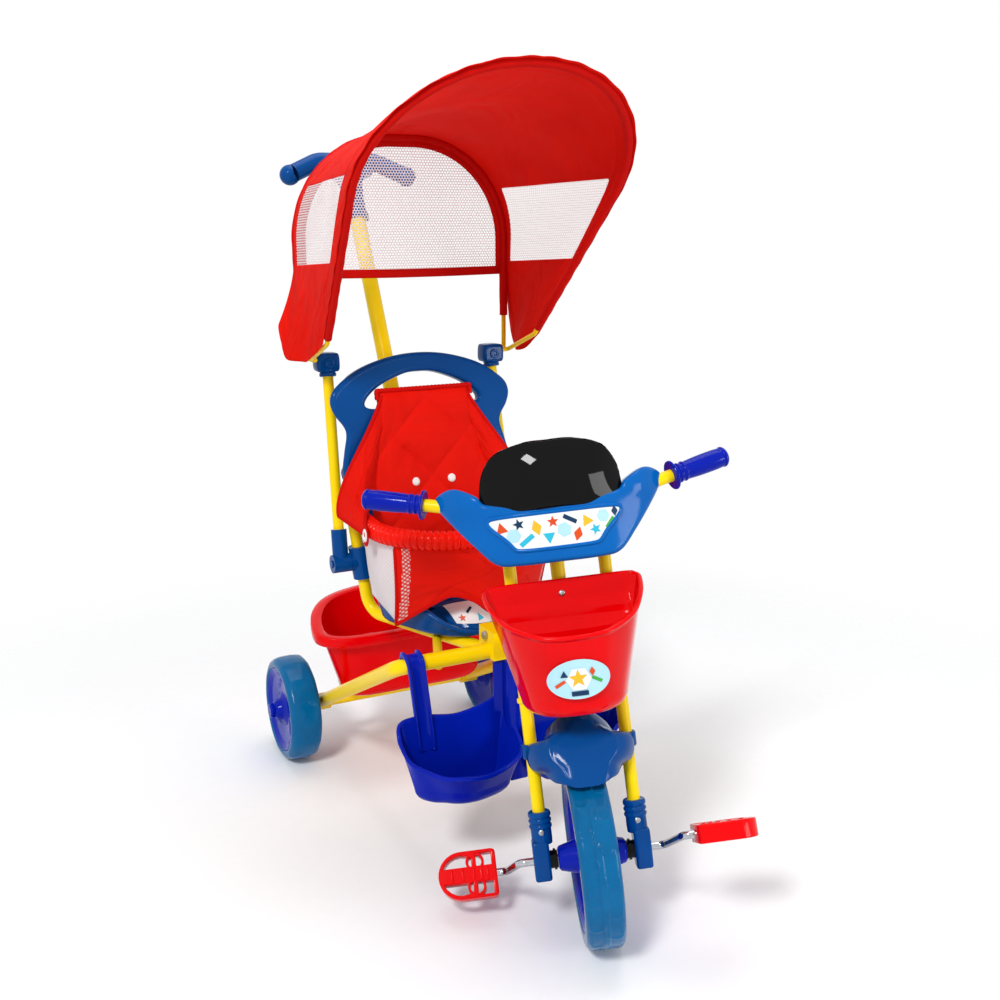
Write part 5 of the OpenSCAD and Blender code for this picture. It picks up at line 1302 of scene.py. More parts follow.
    def bound(self, name: str, arch: Arch, place: Callable[[Array], Array], low: float, r: float,
              up: Sequence) -> Piece:
        """Hem sleeve round a bow's wire, from low on one leg over the crown to low on the other.

        Args:
            name: Name of the piece.
            arch: Bow.
            place: Function from the bow's plane to the trike.
            low: Height of its ends.
            r: Outer radius.
            up: Direction across the bow's plane.

        Returns:
            The sleeve.
        """
        q = np.linspace(float(arch.length(low)), arch.reach, 150)
        half = arch.at(q, 0.0)
        path = place(np.vstack([half, half[-2::-1] * [-1, 1]]))
        run = np.concatenate([q, 2 * arch.reach - q[-2::-1]])
        radius = r + 0.2 * np.sin(run / 5.2 + 2 * np.sin(run / 31)) + 0.15 * np.sin(run / 13)
        return taped(name, sweep(path, radius, 18, up), run, r * 0.35)

    def clamps(self) -> Piece:
        """Clamp on each post: a rounded block over a ringed collar, with a screw boss in front."""
        line = loop_curve([[121, 667], [127, 664], [149, 664], [155, 667], [156.2, 677], [155, 689], [149, 692.6],
                           [128, 692.6], [121.5, 690], [120, 678]], 6)
        collar = open_curve([[9.3, 0], [12, 0.4], [12.8, 2], [12.8, 5], [11.6, 6.4], [12.8, 8], [12.8, 11]], 40)
        boss = open_curve([[7.4, 0], [7.4, 1.2], [6.8, 1.8], [4.4, 1.8], [4.0, 1.0], [0.05, 1.0]], 30)
        way = np.array(self.post_way)
        collar = lathe(collar, np.array(self.clamp_at) - 22 * way, way, unit(np.cross(way, BACK)), 36)
        boss = lathe(boss, (138, 215.4, 678), (0, -1, 0), ACROSS, 36)
        parts = []
        for side in Side:
            block = flat_slab("clamp_block", [line], 215.2, 243.4, 5.0, NAVY)
            parts.append(moved(block, lambda p: coords(p[:, 0], p[:, 2], p[:, 1]) * side.flip))
            parts.append(patch("clamp_collar", collar * side.flip, NAVY, ROUND))
            parts.append(patch("clamp_boss", boss * side.flip, NAVY, ROUND))
        return joined("bow_clamp_blocks", parts)

    def side_net(self, side: Side) -> Piece:
        """Net in one side's window: cells of even size on the cloth's own surface, cut at the hems."""
        flat, faces = net(330.0, 128.0, self.net_pitch, lambda x, y: x < 322)
        t = 1.0 + np.clip(flat[:, 1] / 124.0, -0.05, 1.03)
        reach = mix(150.0, 262.0, np.clip(t - 1, 0, 1))
        v = 0.045 + flat[:, 0] / reach * 0.9
        good = v[faces].max(1) < 0.925
        p = self.side(np.clip(t, 0.97, 2.03), np.minimum(v, 0.95), self.flare[1]) * side.flip
        p = p - [side.value * 1.0, 0, 0.3]
        return build(f"side_net_{side.word}", p, [faces[good]], [NET], uv=flat, about=(0, 120, 760))

    def rear_net(self) -> list[Piece]:
        """Net inside the rear bow, its red tape along the bow and its red hem below."""
        low, arch = self.net_low, self.rear

        def inside(x: Array, y: Array) -> Array:
            off, h = np.abs(x - arch.half), y + low
            rise = np.clip(h - arch.mid[1], 0, None)
            bend = arch.crown + np.sqrt(np.maximum(arch.radius**2 - rise**2, 0))
            return (off < np.where(h < arch.mid[1], arch.half, bend) - 5) & (h < arch.height - 4)

        flat, faces = net(2 * arch.half, arch.height - low, self.net_pitch, inside)
        bow = 2.5 * np.sin(math.pi * flat[:, 0] / (2 * arch.half)) * np.sin(math.pi * flat[:, 1] / 212)
        p = coords(flat[:, 0] - arch.half, self.rear_y + bow, self.foot_z + low + flat[:, 1])
        sheet = build("rear_net", p, [faces], [NET], uv=flat, about=(0, 0, 900))
        q = np.linspace(float(arch.length(low)), arch.reach, 90)
        rows = [np.vstack([a, a[-2::-1] * [-1, 1]]) for a in (arch.at(q, -o) for o in (3.0, 8.0, 14.0))]
        grid = np.stack([self.rear_point(a) - [0, 0.8, 0] for a in rows])
        uv = coords(np.arange(grid.shape[1])[None] * 5.0, np.array([0, 5, 11])[:, None])
        behind = (0, 600, 850)
        tape = thicken(patch("rear_net_tape", grid, TAPE, uv=uv, about=behind), 1.6, 0.0)
        x, h = np.meshgrid(np.linspace(-arch.half + 2, arch.half - 2, 70), np.linspace(0, 13, 5))
        droop = 2.0 * np.sin(math.pi * (x + arch.half) / (2 * arch.half))
        grid = coords(x, self.rear_y + 0.6 * np.sin(x / 17), self.foot_z + low - 4 + h - droop)
        hem = thicken(patch("rear_net_hem", grid, TAPE, uv=coords(x, h), about=behind), 2.0, 0.0)
        return [sheet, tape, hem]

    def build(self) -> None:
        """Make the cloth, hems and nets."""
        cloth = self.roof()
        nets = [self.side_net(side) for side in Side]
        for piece in (cloth, *nets):
            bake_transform(piece)
            log.info("%s bends between the bows", piece.name)
        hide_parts("canopy_roof", "canopy_flaps")
        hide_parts("canopy_windows")
        lead = fit(self.bound("front_hem", self.front, self.front_point, 62.0, 5.9, (0, 0.73, 0.68)),
                   Body.CANOPY_FRONT, "red_cloth")
        fit(self.clamps(), Body.CANOPY, "navy_plastic", "bow_clamps")
        back = fit(self.bound("rear_hem", self.rear, self.rear_point, 58.0, 6.6, BACK), Body.CANOPY, "red_cloth")
        sheet, tape, hem = self.rear_net()
        fit(sheet, Body.CANOPY, "white_net", "rear_window")
        fit(tape, Body.CANOPY, "red_cloth")
        fit(hem, Body.CANOPY, "red_cloth")


def strip(path: Array, profile: Array) -> Array:
    """Carry an open profile along a path that lies in a plane of constant X.

    Args:
        path: Points of the path.
        profile: Place across (X) and outwards of each profile point.

    Returns:
        Path points, profile points, xyz.
    """
    way = unit(np.gradient(path, axis=0))
    out = coords(0, -way[:, 2], way[:, 1])
    across = profile[None, :, :1] * np.array([1.0, 0, 0])
    return path[:, None] + across + profile[None, :, 1:] * out[:, None]


@dataclass
class Seat:
    """Navy shell of seat and back, the quilted red cover over it, and the guard bar's ribbed sleeve."""

    foot: Vec = (0.0, 115.5, 310.8)
    lean: float = math.radians(12)
    back_half: Sequence = ((0, 0), (62, 0), (88, 7), (101, 28), (104, 70), (105, 135), (111, 167), (132, 193),
                           (139, 215), (134, 243), (128, 269), (131, 283), (143, 301), (148, 321), (138, 341),
                           (100, 366.7), (50, 382.7), (0, 387.7))
    hand_half: Sequence = ((0, 303.7), (56, 304.7), (90, 307.7), (92, 319.7), (68, 339.7), (28, 355.7), (0, 358.7))
    back_thick: float = 22.0
    pan_half: Sequence = ((0, -46), (44, -39), (80, -6), (102, 40), (118, 86), (106, 114), (60, 120), (0, 120))
    # Underside, rim and front lip of the pan
    pan: Vec = (304.3, 346.0, 317.3)
    swell_half: Pair = (44.0, 66.0)
    swell_rise: float = 32.0
    # Lower and upper edge of the cover up the back; pitch and start of its quilting lines
    cover: Pair = (49.0, 331.7)
    quilt: Pair = (120.0, 78.0)
    pad_rise: float = 9.0
    # Guard bar: front, height, half width at the corners, radius of the bends; length, pitch and radius of its sleeve
    bar: tuple[float, float, float, float] = (-57.0, 457.0, 142.0, 108.0)
    bar_turn: float = math.radians(93.98)
    ribs: Vec = (283.6, 9.0, 14.0)
    eyelet_at: Vec = (151.0, 42.0, 453.0)
    seat_print: Sequence = (
        ("star", "orange", -30, 0.2, 5, 0), ("bar", "slate", -18, 0.36, 5, 40), ("triangle", "aqua", -6, 0.2, 5, 15),
        ("diamond", "yellow", 8, 0.34, 5, 0), ("hexagon", "green", 20, 0.2, 4, 0), ("star", "aqua", 31, 0.34, 5, 20))

    def on_back(self, p: Array) -> Array:
        """Place a point given across, up the back, and out of its front face."""
        c, s = math.cos(self.lean), math.sin(self.lean)
        x, up, out = p[..., 0], p[..., 1], p[..., 2]
        return np.array(self.foot) + coords(x, up * s - out * c, up * c + out * s)

    def backrest(self) -> Piece:
        """Shell with a rolled edge, a hand hole, a hollow back with three ribs and thin shoulders."""
        outer, hole = loop_curve(mirrored(self.back_half), 8), loop_curve(mirrored(self.hand_half), 8)
        deep = -self.back_thick
        parts = [flat_slab("backrest_rim", [outer, inset(outer, 14)], deep, 0, 6, NAVY),
                 flat_slab("backrest_ring", [inset(hole, -14), hole], deep, 0, 6, NAVY),
                 flat_slab("backrest_panel", [inset(outer, 6.6), inset(hole, -6.6)], -5, -0.12, 0.2, NAVY)]
        for x0, s0, x1, s1 in ((-101, 150, 101, 156), (-53, 6, -47, 250), (47, 6, 53, 250)):
            box = np.array([[x0, s0], [x1, s0], [x1, s1], [x0, s1]], float)
            parts.append(flat_slab("backrest_rib", [box], deep + 1, -4, 1, NAVY))

        def shoulders(p: Array) -> Array:
            thin = ease((np.abs(p[:, 0]) - 110) / 12) * ease((p[:, 1] - 212) / 12)
            return self.on_back(coords(p[:, 0], p[:, 1], np.maximum(p[:, 2], deep + 15 * thin)))

        return moved(joined("backrest_shell", parts), shoulders)

    def swelling(self, u: Array, v: Array) -> Array:
        """Point of the swelling in front of the child, u across from -1 to 1 and v backwards from 0 to 1."""
        crown = np.sin(np.minimum(v * 1.35, 1.6) * math.pi / 2) * (1 - 0.35 * np.abs(u) ** 3)
        return coords(u * mix(*self.swell_half, v), -39 + 62 * v + 26 * u**2 * (1 - 0.4 * v),
                      317 + self.swell_rise * crown - 45 * np.maximum(v - 0.8, 0))

    def seat_pan(self) -> list[Piece]:
        """Dished pan with a low front lip, and the swelling in front of the child with a printed strip."""
        low, rim, lip = self.pan
        mouth = loop_curve(mirrored(self.pan_half), 10)
        tops = np.minimum(rim, lip + (mouth[:, 1] + 46) * 0.6745)
        dish = bucket(inset(mouth, 7), mouth, tops, low, 7.0, 0.6, 12.0)
        below, scale = (0, 40, 250), 60.0
        v, u = np.meshgrid(np.linspace(0, 1, 24), np.linspace(-1, 1, 49), indexing="ij")
        grid = self.swelling(u, v)

        def on_swelling(flat: Array) -> Array:
            row = flat[:, 1] / scale
            return self.swelling(flat[:, 0] / mix(*self.swell_half, row), row) + [0, -0.9, 1.0]

        shapes = [(kind, ink, x, y * scale, size, turn) for kind, ink, x, y, size, turn in self.seat_print]
        return [patch("seat_pan_shell", dish, NAVY, ROUND, True),
                patch("seat_swelling", grid, NAVY, about=below),
                patch("seat_label", (grid + [0, -0.5, 0.6])[2:15, 4:-4], INKS["white"], about=below),
                printed("seat_print", shapes, on_swelling, below)]

    def half_width(self, s: Array) -> Array:
        """Half width of the cover's back panel."""
        swing = (1 - np.cos(math.pi * np.clip((s - 182) / (self.cover[1] - 202), 0, 1))) / 2
        return 101 - 24 * swing

    def puff(self, x: Array, s: Array, depth: float) -> Array:
        """Padding between two sets of crossing quilting lines."""
        pitch, start = self.quilt
        a, b = np.sin(math.pi * (x + s - start) / pitch), np.sin(math.pi * (x - s + start) / pitch)
        return depth * (0.2 + 0.8 * np.abs(a * b) ** 0.36)

    def cover_back(self) -> list[Piece]:
        """Quilted pad, closed all round, with its bound edge and two white snaps."""
        low, high = self.cover
        s, u = np.meshgrid(np.linspace(low, high, 110), np.linspace(-1, 1, 96), indexing="ij")
        x = u * self.half_width(s)
        edge = (1 - np.abs(u) ** 14) * (1 - np.abs(2 * (s - low) / (high - low) - 1) ** 20)
        crease = 0.8 * ripple(x / 17, s / 21, 1.1) + 0.5 * ripple(x / 7, s / 30, 4.0)
        front = coords(x, s, 1.0 + (self.puff(x, s, self.pad_rise) + crease) * edge)
        back = coords(x, s, 0.35)[:, ::-1]
        ring = np.concatenate([front, back], 1)
        uv = ring[..., :2].reshape(-1, 2)
        uv = np.vstack([uv, uv[:1], uv[-1:]])
        pad = patch("cover_back_quilt", self.on_back(ring), CLOTH, ROUND, True, uv=uv)
        run = np.linspace(318.0, high, 20)
        side = coords(self.half_width(run), run)
        top = coords(np.linspace(side[-1, 0], -side[-1, 0], 60)[1:-1], high)
        line = even(np.vstack([side, top, side[::-1] * [-1, 1]]), 260)
        path = self.on_back(coords(line[:, 0], line[:, 1], 3.2))
        tape = sweep(path, 3.6 + 0.25 * np.sin(np.arange(260) * 0.7), 14, (0, -1, 0.2))
        bind = self.bound("cover_binding", tape, 3.6)
        knob = np.array([[6.4, 0.0], [6.6, 1.4], [5.6, 2.6], [3.4, 3.3], [0.05, 3.4]])
        snaps = [patch("cover_snap", self.on_back(lathe(knob, (x0, 190, 7.2), UP, ACROSS, 32)), SNAP, ROUND)
                 for x0 in (-30, 30)]
        return [pad, bind, joined("cover_snaps", snaps)]

    def bound(self, name: str, grid: Array, r: float) -> Piece:
        """Finish a binding of radius r, its rings taken as 3 mm apart."""
        return taped(name, grid, np.arange(len(grid)) * 3.0, r * 0.45)

    def wing(self, side: Side) -> tuple[Piece, list[Piece]]:
        """Wing from the panel's edge over the guard bar's arm, bound along its free edges, with a tab and eyelet."""
        t, u = np.meshgrid(np.linspace(0, 1, 46), np.linspace(0, 1, 52), indexing="ij")
        h = mix(324, 165, t)
        a = self.on_back(coords(self.half_width(h) - 7, h, 4.0))
        d = coords(mix(157, 149, t), mix(140, 44, t), 460 - 8 * t)
        b = a + coords(mix(26, 22, t), mix(-20, -30, t), mix(-58, 2, t))
        c = d + coords(mix(6, 2, t), mix(6, 10, t), mix(44, 40, t))
        k = u[..., None]
        p = (1 - k) ** 3 * a + 3 * k * (1 - k) ** 2 * b + 3 * k**2 * (1 - k) * c + k**3 * d
        lift = 2.6 * ripple(t * 6, u * 4, 0.8) + 1.5 * np.sin(u * 16 + t * 4)
        lift = lift * np.sin(math.pi * u) * np.sin(math.pi * t)
        seam = bell(t - 0.16 - 0.62 * u, 0.035) + bell(t - 0.86 + 0.5 * u, 0.035)
        lift = lift - 2.2 * seam * ease(u / 0.1) * ease((0.92 - u) / 0.1)
        p = (p + lift[..., None] * np.array([0.8, -0.3, 0.5])) * side.flip
        sheet = patch(f"cover_wing_{side.word}_cloth", p, CLOTH, uv=coords(u * 190, t * 140),
                      about=(0, 120, 430))
        path = even(np.vstack([p[0], p[1:-1, -1], p[-1, ::-1]]), 200)
        bind = self.bound(f"wing_binding_{side.word}", sweep(path, 2.9, 12, (1, 0.2, 0.1)), 2.9)
        g = turns(48)

        def ovals(steps: Sequence[Pair], deep: float, wide: float, tall: float) -> Array:
            x, y, z = self.eyelet_at
            rows = [coords(x + deep * k, y + r * wide * np.cos(g), z + r * tall * np.sin(g))
                    for r, k in steps]
            return np.stack(rows) * side.flip

        tab_uv = coords(g[None] * 12, np.arange(7)[:, None] * 5.0)
        tab = patch(f"wing_tab_{side.word}", ovals(
            ((0.42, 0.0), (0.7, 1.6), (0.96, 1.2), (1.0, 0.0), (0.96, -2.4), (0.7, -2.8), (0.42, -1.6)), 0.4, 12, 16),
            TAPE, RING, uv=tab_uv)
        eyelet = patch(f"wing_eyelet_{side.word}", ovals(
            ((3.6, 1.5), (5.2, 2.4), (6.4, 1.4), (6.4, -2.4), (5.2, -3.0), (3.6, -2.0)), 1.0, 1.0, 1.5), SNAP, RING)
        return thicken(sheet, 1.6, 0.0), [bind, tab, eyelet]

    def sleeve_path(self, q: Array) -> Array:
        """Middle line of the guard bar at a length from the middle of its front run."""
        (y0, z0, half, bend), turn = self.bar, self.bar_turn
        run = half - bend * math.tan(turn / 2)
        g = np.clip((np.abs(q) - run) / bend, 0, turn)
        rest = np.maximum(0, np.abs(q) - run - bend * turn)
        x = np.minimum(np.abs(q), run) + bend * np.sin(g) + rest * math.cos(turn)
        y = bend * (1 - np.cos(g)) + rest * math.sin(turn)
        return coords(np.sign(q) * x, y0 + y, z0)

    def front_panel(self) -> list[Piece]:
        """Panel from the guard bar to the seat's front, with net strips, red borders and an arched lower edge."""
        rows, cols = 60, 141
        t, w = np.meshgrid(np.linspace(0, 1, rows), np.linspace(-1, 1, cols), indexing="ij")
        up = self.sleeve_path(w * 146) - [0, 0, 13.4]
        legs = open_curve([[0, 347], [0.07, 350], [0.25, 366], [0.5, 373], [0.75, 351], [0.9, 332], [1, 318]], 200)
        low = coords(113 * w, -54 + 84 * np.abs(w) ** 2.4, np.interp(np.abs(w), legs[:, 0], legs[:, 1]))
        fold = 2.4 * ripple(w * 6, t * 3.2, 2.2) + 1.5 * np.sin(9 * w * (1 - 0.4 * t)) * t
        x, down = w * 114, t * 120
        line = bell(x + down - 40, 2.2) + bell(x - down + 40, 2.2)
        out = (fold * np.sin(math.pi * t) ** 0.6 - 1.6 * line) * (np.abs(w) < 0.97) + 5 * np.sin(math.pi * t)
        grid = mix(up, low, t[..., None]) - out[..., None] * np.array(BACK)
        faces = quads(rows, cols, False, False)
        middle, fallen = np.abs(w.ravel()[faces].mean(1)), t.ravel()[faces].mean(1)
        pick = ((middle > mix(0.82, 0.91, fallen)) & (middle < mix(0.91, 0.985, fallen))).astype(int)
        uv = coords(x + down, x - down) / math.sqrt(2)
        sheet = build("cover_front_panel", grid, [faces], [CLOTH, LATTICE], pick, uv, about=(0, 60, 400))
        edge = even(np.vstack([grid[2:, 0], grid[-1, 1:-1], grid[:1:-1, -1]]), 300)
        bind = self.bound("front_panel_binding", sweep(edge, 2.7, 12, (0.2, -1, 0.3)), 2.7)
        return [thicken(sheet, 1.5, 0.0), bind]

    def side_net(self, side: Side) -> Piece:
        """White net between the guard bar's arm and the seat's edge, slack between its four corners."""
        t, q = np.meshgrid(np.linspace(0, 1, 40), np.linspace(0, 1, 40), indexing="ij")
        up = self.sleeve_path(mix(150, 268, q)) - [2, 0, 12.6]
        low = coords(mix(112, 121, q), mix(32, 104, q), mix(322, 344, q))
        sag = 5 * np.sin(math.pi * t) * np.sin(math.pi * q) + 1.2 * ripple(q * 5, t * 5, 3.0)
        grid = mix(up, low, t[..., None]) + (sag * np.sin(math.pi * t))[..., None] * np.array(ACROSS)
        uv = coords(q * 118 + t * 120, q * 118 - t * 120) / math.sqrt(2)
        sheet = patch(f"cover_side_net_{side.word}", grid * side.flip, MESH, uv=uv, about=(0, 60, 400))
        return thicken(sheet, 0.8, 0.0)

    def sleeve(self) -> Piece:
        """Corrugated soft sleeve on the guard bar: broad crests and narrow valleys at an even pitch."""
        end, pitch, r = self.ribs
        q = np.linspace(-end, end, 640)
        phase = (q / pitch) % 1.0
        radius = r - 2.7 * bell(phase - 0.5, 0.15) - 2.2 * ease((np.abs(q) - 258) / 4)
        return patch("guard_sleeve_ribs", sweep(self.sleeve_path(q), radius, 30), FOAM, ROUND, True)

    def build(self) -> None:
        """Make the seat's pieces."""
        fit(self.backrest(), Body.FRAME, "navy_plastic", "backrest")
        pan, swell, white, dots = self.seat_pan()
        fit(pan, Body.FRAME, "navy_plastic", "seat_pan")
        fit(swell, Body.FRAME, "navy_plastic")
        fit(white, Body.FRAME, "white_net")
        fit(dots, Body.FRAME, "white_net")
        pad, bind, snaps = self.cover_back()
        fit(pad, Body.FRAME, "red_cloth", "cover_back")
        fit(bind, Body.FRAME, "red_cloth")
        fit(snaps, Body.FRAME, "white_net")
        for side in Side:
            sheet, trims = self.wing(side)
            fit(sheet, Body.FRAME, "red_cloth", f"cover_wing_{side.word}")
            for trim, slot in zip(trims, ("red_cloth", "red_cloth", "white_net")):
                fit(trim, Body.FRAME, slot)
        sheet, bind = self.front_panel()
        fit(sheet, Body.FRAME, "red_cloth", "cover_front")
        fit(bind, Body.FRAME, "red_cloth")
        fit(self.sleeve(), Body.FRAME, "red_foam", "guard_sleeve")
        for side in Side:
            gusset = fit(self.side_net(side), Body.FRAME, "white_net")


@dataclass
class Carriers:
    """Red rear tub with a rolled rim, and the blue footrest with its two bowls, straps and middle post."""

    tub_half: float = 158.0
    tub_y: Pair = (224.0, 405.0)
    tub_low: float = 120.0
    rim_z: float = 236.0
    tilt: float = math.radians(8)
    # Footrest: half width, front and back, then underside, front lip and back edge
    foot_half: float = 172.0
    foot_y: Pair = (-184.0, -108.0)
    foot_z: Vec = (121.0, 165.0, 236.0)
    taper: float = 0.8
    wall: float = 3.0
    # Place and radius of the base tube that the straps hang on
    tube: Vec = (-97.0, 306.0, 11.0)
    strap_x: float = 136.0
    strap_low: float = 186.0
    post_top: float = 296.8

    def tub_line(self, w: float, d: float) -> Array:
        """Outline of the tub, wide at the front and narrow at the rear."""
        half = [[0, -d / 2], [0.7 * w, -d / 2], [0.96 * w, -0.42 * d], [w, -0.26 * d], [0.9 * w, 0.06 * d],
                [0.68 * w, 0.33 * d], [0.34 * w, 0.47 * d], [0, d / 2]]
        return loop_curve(mirrored(half), 12) + [0, sum(self.tub_y) / 2]

    def tub(self) -> list[Piece]:
        """Bucket with a sloping, rolled rim, and its two feet on the axle tube."""
        depth, mid = self.tub_y[1] - self.tub_y[0], sum(self.tub_y) / 2
        mouth = self.tub_line(self.tub_half - 8, depth - 12)
        floor = self.tub_line(self.tub_half * 0.78, depth * 0.86)
        tops = self.rim_z + math.tan(self.tilt) * (depth / 2 + mouth[:, 1] - mid)
        rings = bucket(floor, mouth, tops, self.tub_low, self.wall, 15.0, 22.0, 17.0)
        parts = [patch("rear_tub_shell", rings, RED, ROUND, True)]
        for side in Side:
            x = side.value * self.tub_half * 0.42
            parts.append(flat_slab("tub_foot", [box_line(x - 12, 323, x + 12, 349)], 97.6, 123.0, 2.0, RED))
        return parts

    def tray(self, side: Side) -> Piece:
        """Bowl for a foot: high at the back with a dip in its edge, low rolled lip at the front."""
        fh, (f, b), (low, lip, high) = self.foot_half, self.foot_y, self.foot_z
        line = loop_curve([[fh, b - 16], [fh - 7, b - 3], [fh - 32, b], [fh / 2, b], [24, b], [9, b - 3], [7, b - 28],
                           [9, f + 22], [28, f + 11], [62, f + 3], [94, f + 4], [120, f + 13], [142, f + 29],
                           [fh - 12, b - 36], [fh - 2, b - 24]], 11)
        x, y = line[:, 0], line[:, 1]
        mid = np.array([78.0, (f + b) / 2 + 8])
        slope = high + (y - b) * (high - lip) / (b - f)
        outside = 16 * ease((x - 96) / 50) * ease((-122 - y) / 22)
        behind = (12 * ease((34 - x) / 12) - 9 * bell(x - 82, 26)) * ease((y + 126) / 14)
        tops = softened(slope - outside + behind, 15)
        rings = bucket(mid + (line - mid) * self.taper, line, tops, low, self.wall, 2.2, 20.0, 7.0)
        return patch(f"foot_tray_{side.word}", rings * side.flip, ROYAL, ROUND, True)

    def strap(self, side: Side) -> Piece:
        """Channel from the tray's back up and over the base tube, with raised edges."""
        y, z, r = self.tube
        g = np.linspace(math.pi, 0.1, 22)
        hook = coords(0, y + (r + 2.6) * np.cos(g), z + (r + 2.6) * np.sin(g))
        riser = even(np.array([[0, y - r - 3.4, self.strap_low], [0, y - r - 2.6, z]]), 24)
        path = np.vstack([riser[:-1], hook])
        half = np.array([[6, 1.0], [8.2, 1.6], [9, 4.6], [10.6, 5.4], [12, 4.6], [12.4, 0], [12, -2.4]])
        cut = np.vstack([half[::-1] * [-1, 1], half])
        lean = mix(-9, 4, (path[:, 2] - self.strap_low) / 120)
        grid = strip(path + (side.value * (self.strap_x + lean))[:, None] * np.array(ACROSS), cut)
        return patch(f"foot_strap_{side.word}", grid, ROYAL, ROUND, True)

    def build(self) -> None:
        """Make the tub and the footrest."""
        fit(joined("rear_tub_moulding", self.tub()), Body.FRAME, "red_plastic", "rear_tub")
        parts = [self.tray(s) for s in Side] + [self.strap(s) for s in Side]
        b = self.foot_y[1]
        top = min(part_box("footrest")[1][2] / MM, self.post_top)
        parts.append(flat_slab("foot_post", [box_line(-13, b - 30, 13, b)], 124.0, top, 3.0, ROYAL))
        parts.append(flat_slab("foot_plate", [box_line(-26, b - 4.2, 26, b - 0.2)], 174.0, top, 1.2, ROYAL))
        fit(joined("footrest_moulding", parts), Body.FRAME, "royal_blue_plastic", "footrest")


@dataclass
class Hardware:
    """CAD nodes whose own shape is right: they keep it and take the real material."""

    finishes: dict = field(default_factory=lambda: {
        "tyre_blue": TYRE, "royal_blue_plastic": ROYAL, "navy_plastic": NAVY, "red_plastic": RED,
        "black_plastic": BLACK, "yellow_paint": YELLOW, "chrome_rod": CHROME, "zinc_screw": ZINC, "red_cloth": CLOTH,
        "white_net": NET, "red_foam": FOAM})

    def build(self) -> None:
        """Give each CAD node that still shows the finish of its slot."""
        for part in frame["record"]["subparts"]:
            piece = frame["nodes"][part["node"]]
            made = finish(self.finishes[part["material_slot"]])
            for slot in piece.material_slots:
                slot.link = "OBJECT"
                slot.material = made
            log.info("%s keeps its CAD shape", part["node"])


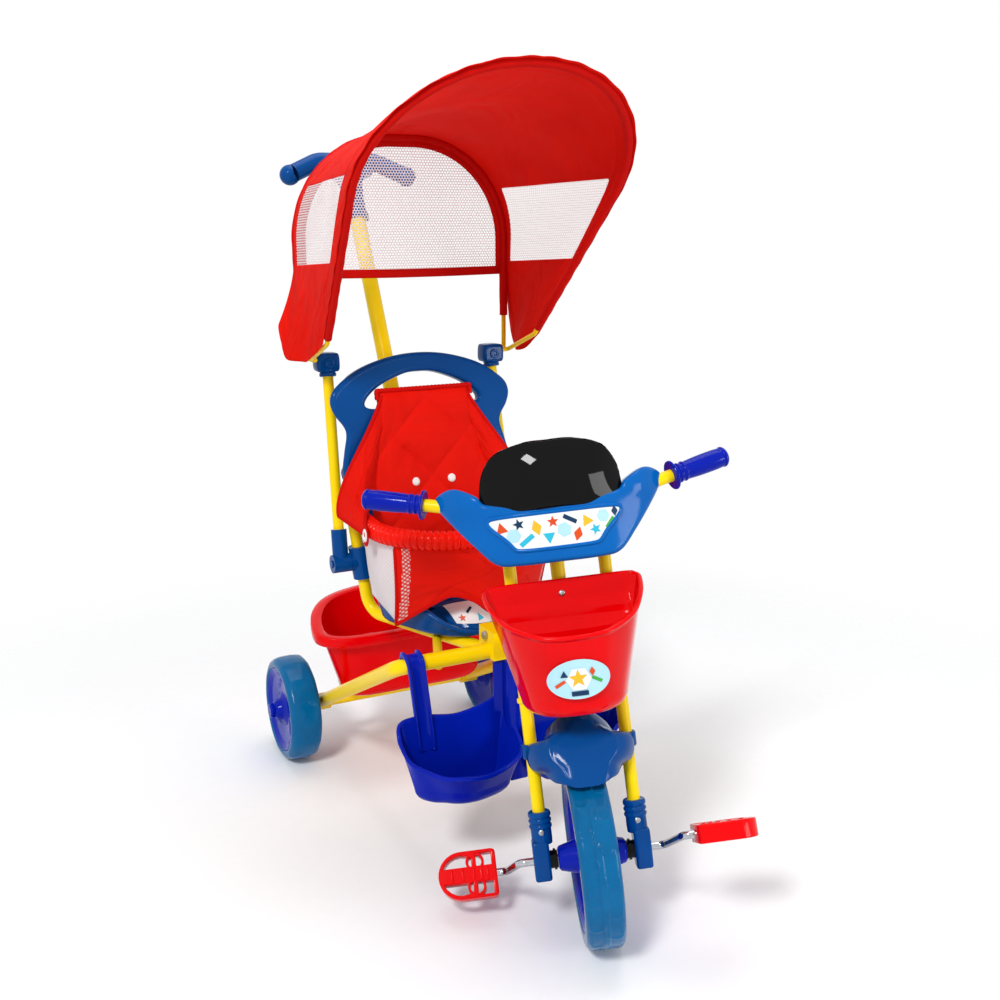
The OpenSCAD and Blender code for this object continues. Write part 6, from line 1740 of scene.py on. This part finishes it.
@dataclass
class Stage:
    """Pale floor that fades into a white backdrop, three soft lamps and the photograph's camera.

    A lamp has a name, a place, a target, a size in metres and a power in watts.
    """

    eye: Vec = (-0.680, -1.457, 0.878)
    yaw: float = math.radians(26.31)
    pitch: float = math.radians(13.349)
    roll: float = math.radians(-0.334)
    lens: float = 41.67
    sensor: float = 36.0
    floor_half: float = 1.7
    floor_z: float = -0.0004
    fade: Pair = (0.7, 1.5)
    lamps: Sequence = (("key", (-2.2, -2.0, 2.9), (0, 0, 0.5), 0.7, 93.0),
                       ("fill", (1.7, -2.5, 0.7), (0, 0, 0.75), 0.9, 28.0),
                       ("top", (0.3, 0.4, 3.4), (0, 0, 0.4), 2.0, 36.0))

    def floor(self) -> None:
        """Square of pale paper, opaque under the trike and clear further out."""
        s = Shader("studio_paper")
        far = put(s.tree, "VectorMath", {0: s.where}, operation="LENGTH").outputs["Value"]
        fade = s.put("MapRange", {0: far, 1: self.fade[0], 2: self.fade[1]}, interpolation_type="SMOOTHSTEP")
        paper = s.skin(s.tint(s.noise(60.0, 3.0), "#fbfbfb", "#f7f7f7"), 0.8, Specular_IOR_Level=0.2)
        made = s.done(s.put("MixShader", {0: fade, 1: paper, 2: s.put("BsdfTransparent")}))
        mesh = bpy.data.meshes.new("studio_floor")
        h, z = self.floor_half, self.floor_z
        mesh.from_pydata([(-h, -h, z), (h, -h, z), (h, h, z), (-h, h, z)], [], [(0, 1, 2, 3)])
        mesh.materials.append(made)
        sheet = bpy.data.objects.new("studio_floor", mesh)
        bpy.context.scene.collection.objects.link(sheet)

    def world(self) -> None:
        """White to the camera, softer grey to the surfaces, so that the trike isn't washed out."""
        world = bpy.data.worlds.new("studio")
        world.use_nodes = True
        tree = world.node_tree
        tree.nodes.clear()
        rays = put(tree, "LightPath").outputs
        seen = rays["Is Camera Ray"]
        for kind in ("Is Glossy Ray", "Is Transmission Ray"):
            seen = put(tree, "Math", {0: seen, 1: rays[kind]}, operation="MAXIMUM").outputs[0]
        soft = put(tree, "Background", {"Color": linear("#eef1f4"), "Strength": 0.55})
        white = put(tree, "Background", {"Color": (1, 1, 1, 1), "Strength": 1.0})
        both = put(tree, "MixShader", {0: seen, 1: soft.outputs[0], 2: white.outputs[0]})
        put(tree, "OutputWorld", {"Surface": both.outputs[0]})
        bpy.context.scene.world = world

    def stand(self, name: str, data: bpy.types.ID, axes: Sequence[Array]) -> Piece:
        """Add a lamp or a camera.

        Args:
            name: Name of the object.
            data: Its light or camera data.
            axes: Its own X, Y and Z and its place.

        Returns:
            The new object.
        """
        turn = np.eye(4)
        for k, axis in enumerate(axes):
            turn[:3, k] = axis
        thing = bpy.data.objects.new(name, data)
        thing.matrix_world = Matrix(turn.tolist())
        bpy.context.scene.collection.objects.link(thing)
        return thing

    def lamp(self, name: str, at: Sequence[float], target: Sequence[float], size: float, power: float) -> None:
        """Square area lamp that faces a point."""
        data = bpy.data.lights.new(name, "AREA")
        data.energy, data.size = power, size
        z = unit(np.asarray(at, float) - np.asarray(target, float))
        x = unit(np.cross([0.01, 1.0, 0.0], z))
        self.stand(name, data, (x, np.cross(z, x), z, at))

    def camera(self) -> None:
        """Camera of the photograph, fitted from its outlines."""
        cy, sy, cp, sp = math.cos(self.yaw), math.sin(self.yaw), math.cos(self.pitch), math.sin(self.pitch)
        ahead, right = np.array([sy * cp, cy * cp, -sp]), np.array([cy, -sy, 0.0])
        up = np.cross(right, ahead)
        c, s = math.cos(self.roll), math.sin(self.roll)
        data = bpy.data.cameras.new("photo_camera")
        data.lens, data.sensor_width = self.lens, self.sensor
        axes = (c * right + s * up, c * up - s * right, -ahead, self.eye)
        bpy.context.scene.camera = self.stand("photo_camera", data, axes)

    def build(self) -> None:
        """Set the scene round the trike."""
        bpy.context.scene.view_settings.view_transform = "Standard"
        self.floor()
        self.world()
        for lamp in self.lamps:
            self.lamp(*lamp)
        self.camera()


def main() -> None:
    """Build the looks."""
    logging.basicConfig(level=logging.INFO, format="%(name)s: %(message)s")
    Hardware().build()
    for part in (Wheels(), FrontCovers(), Canopy(), Seat(), Carriers(), Stage()):
        log.info("building %s", type(part).__name__)
        part.build()


if __name__ == "__main__":
    main()
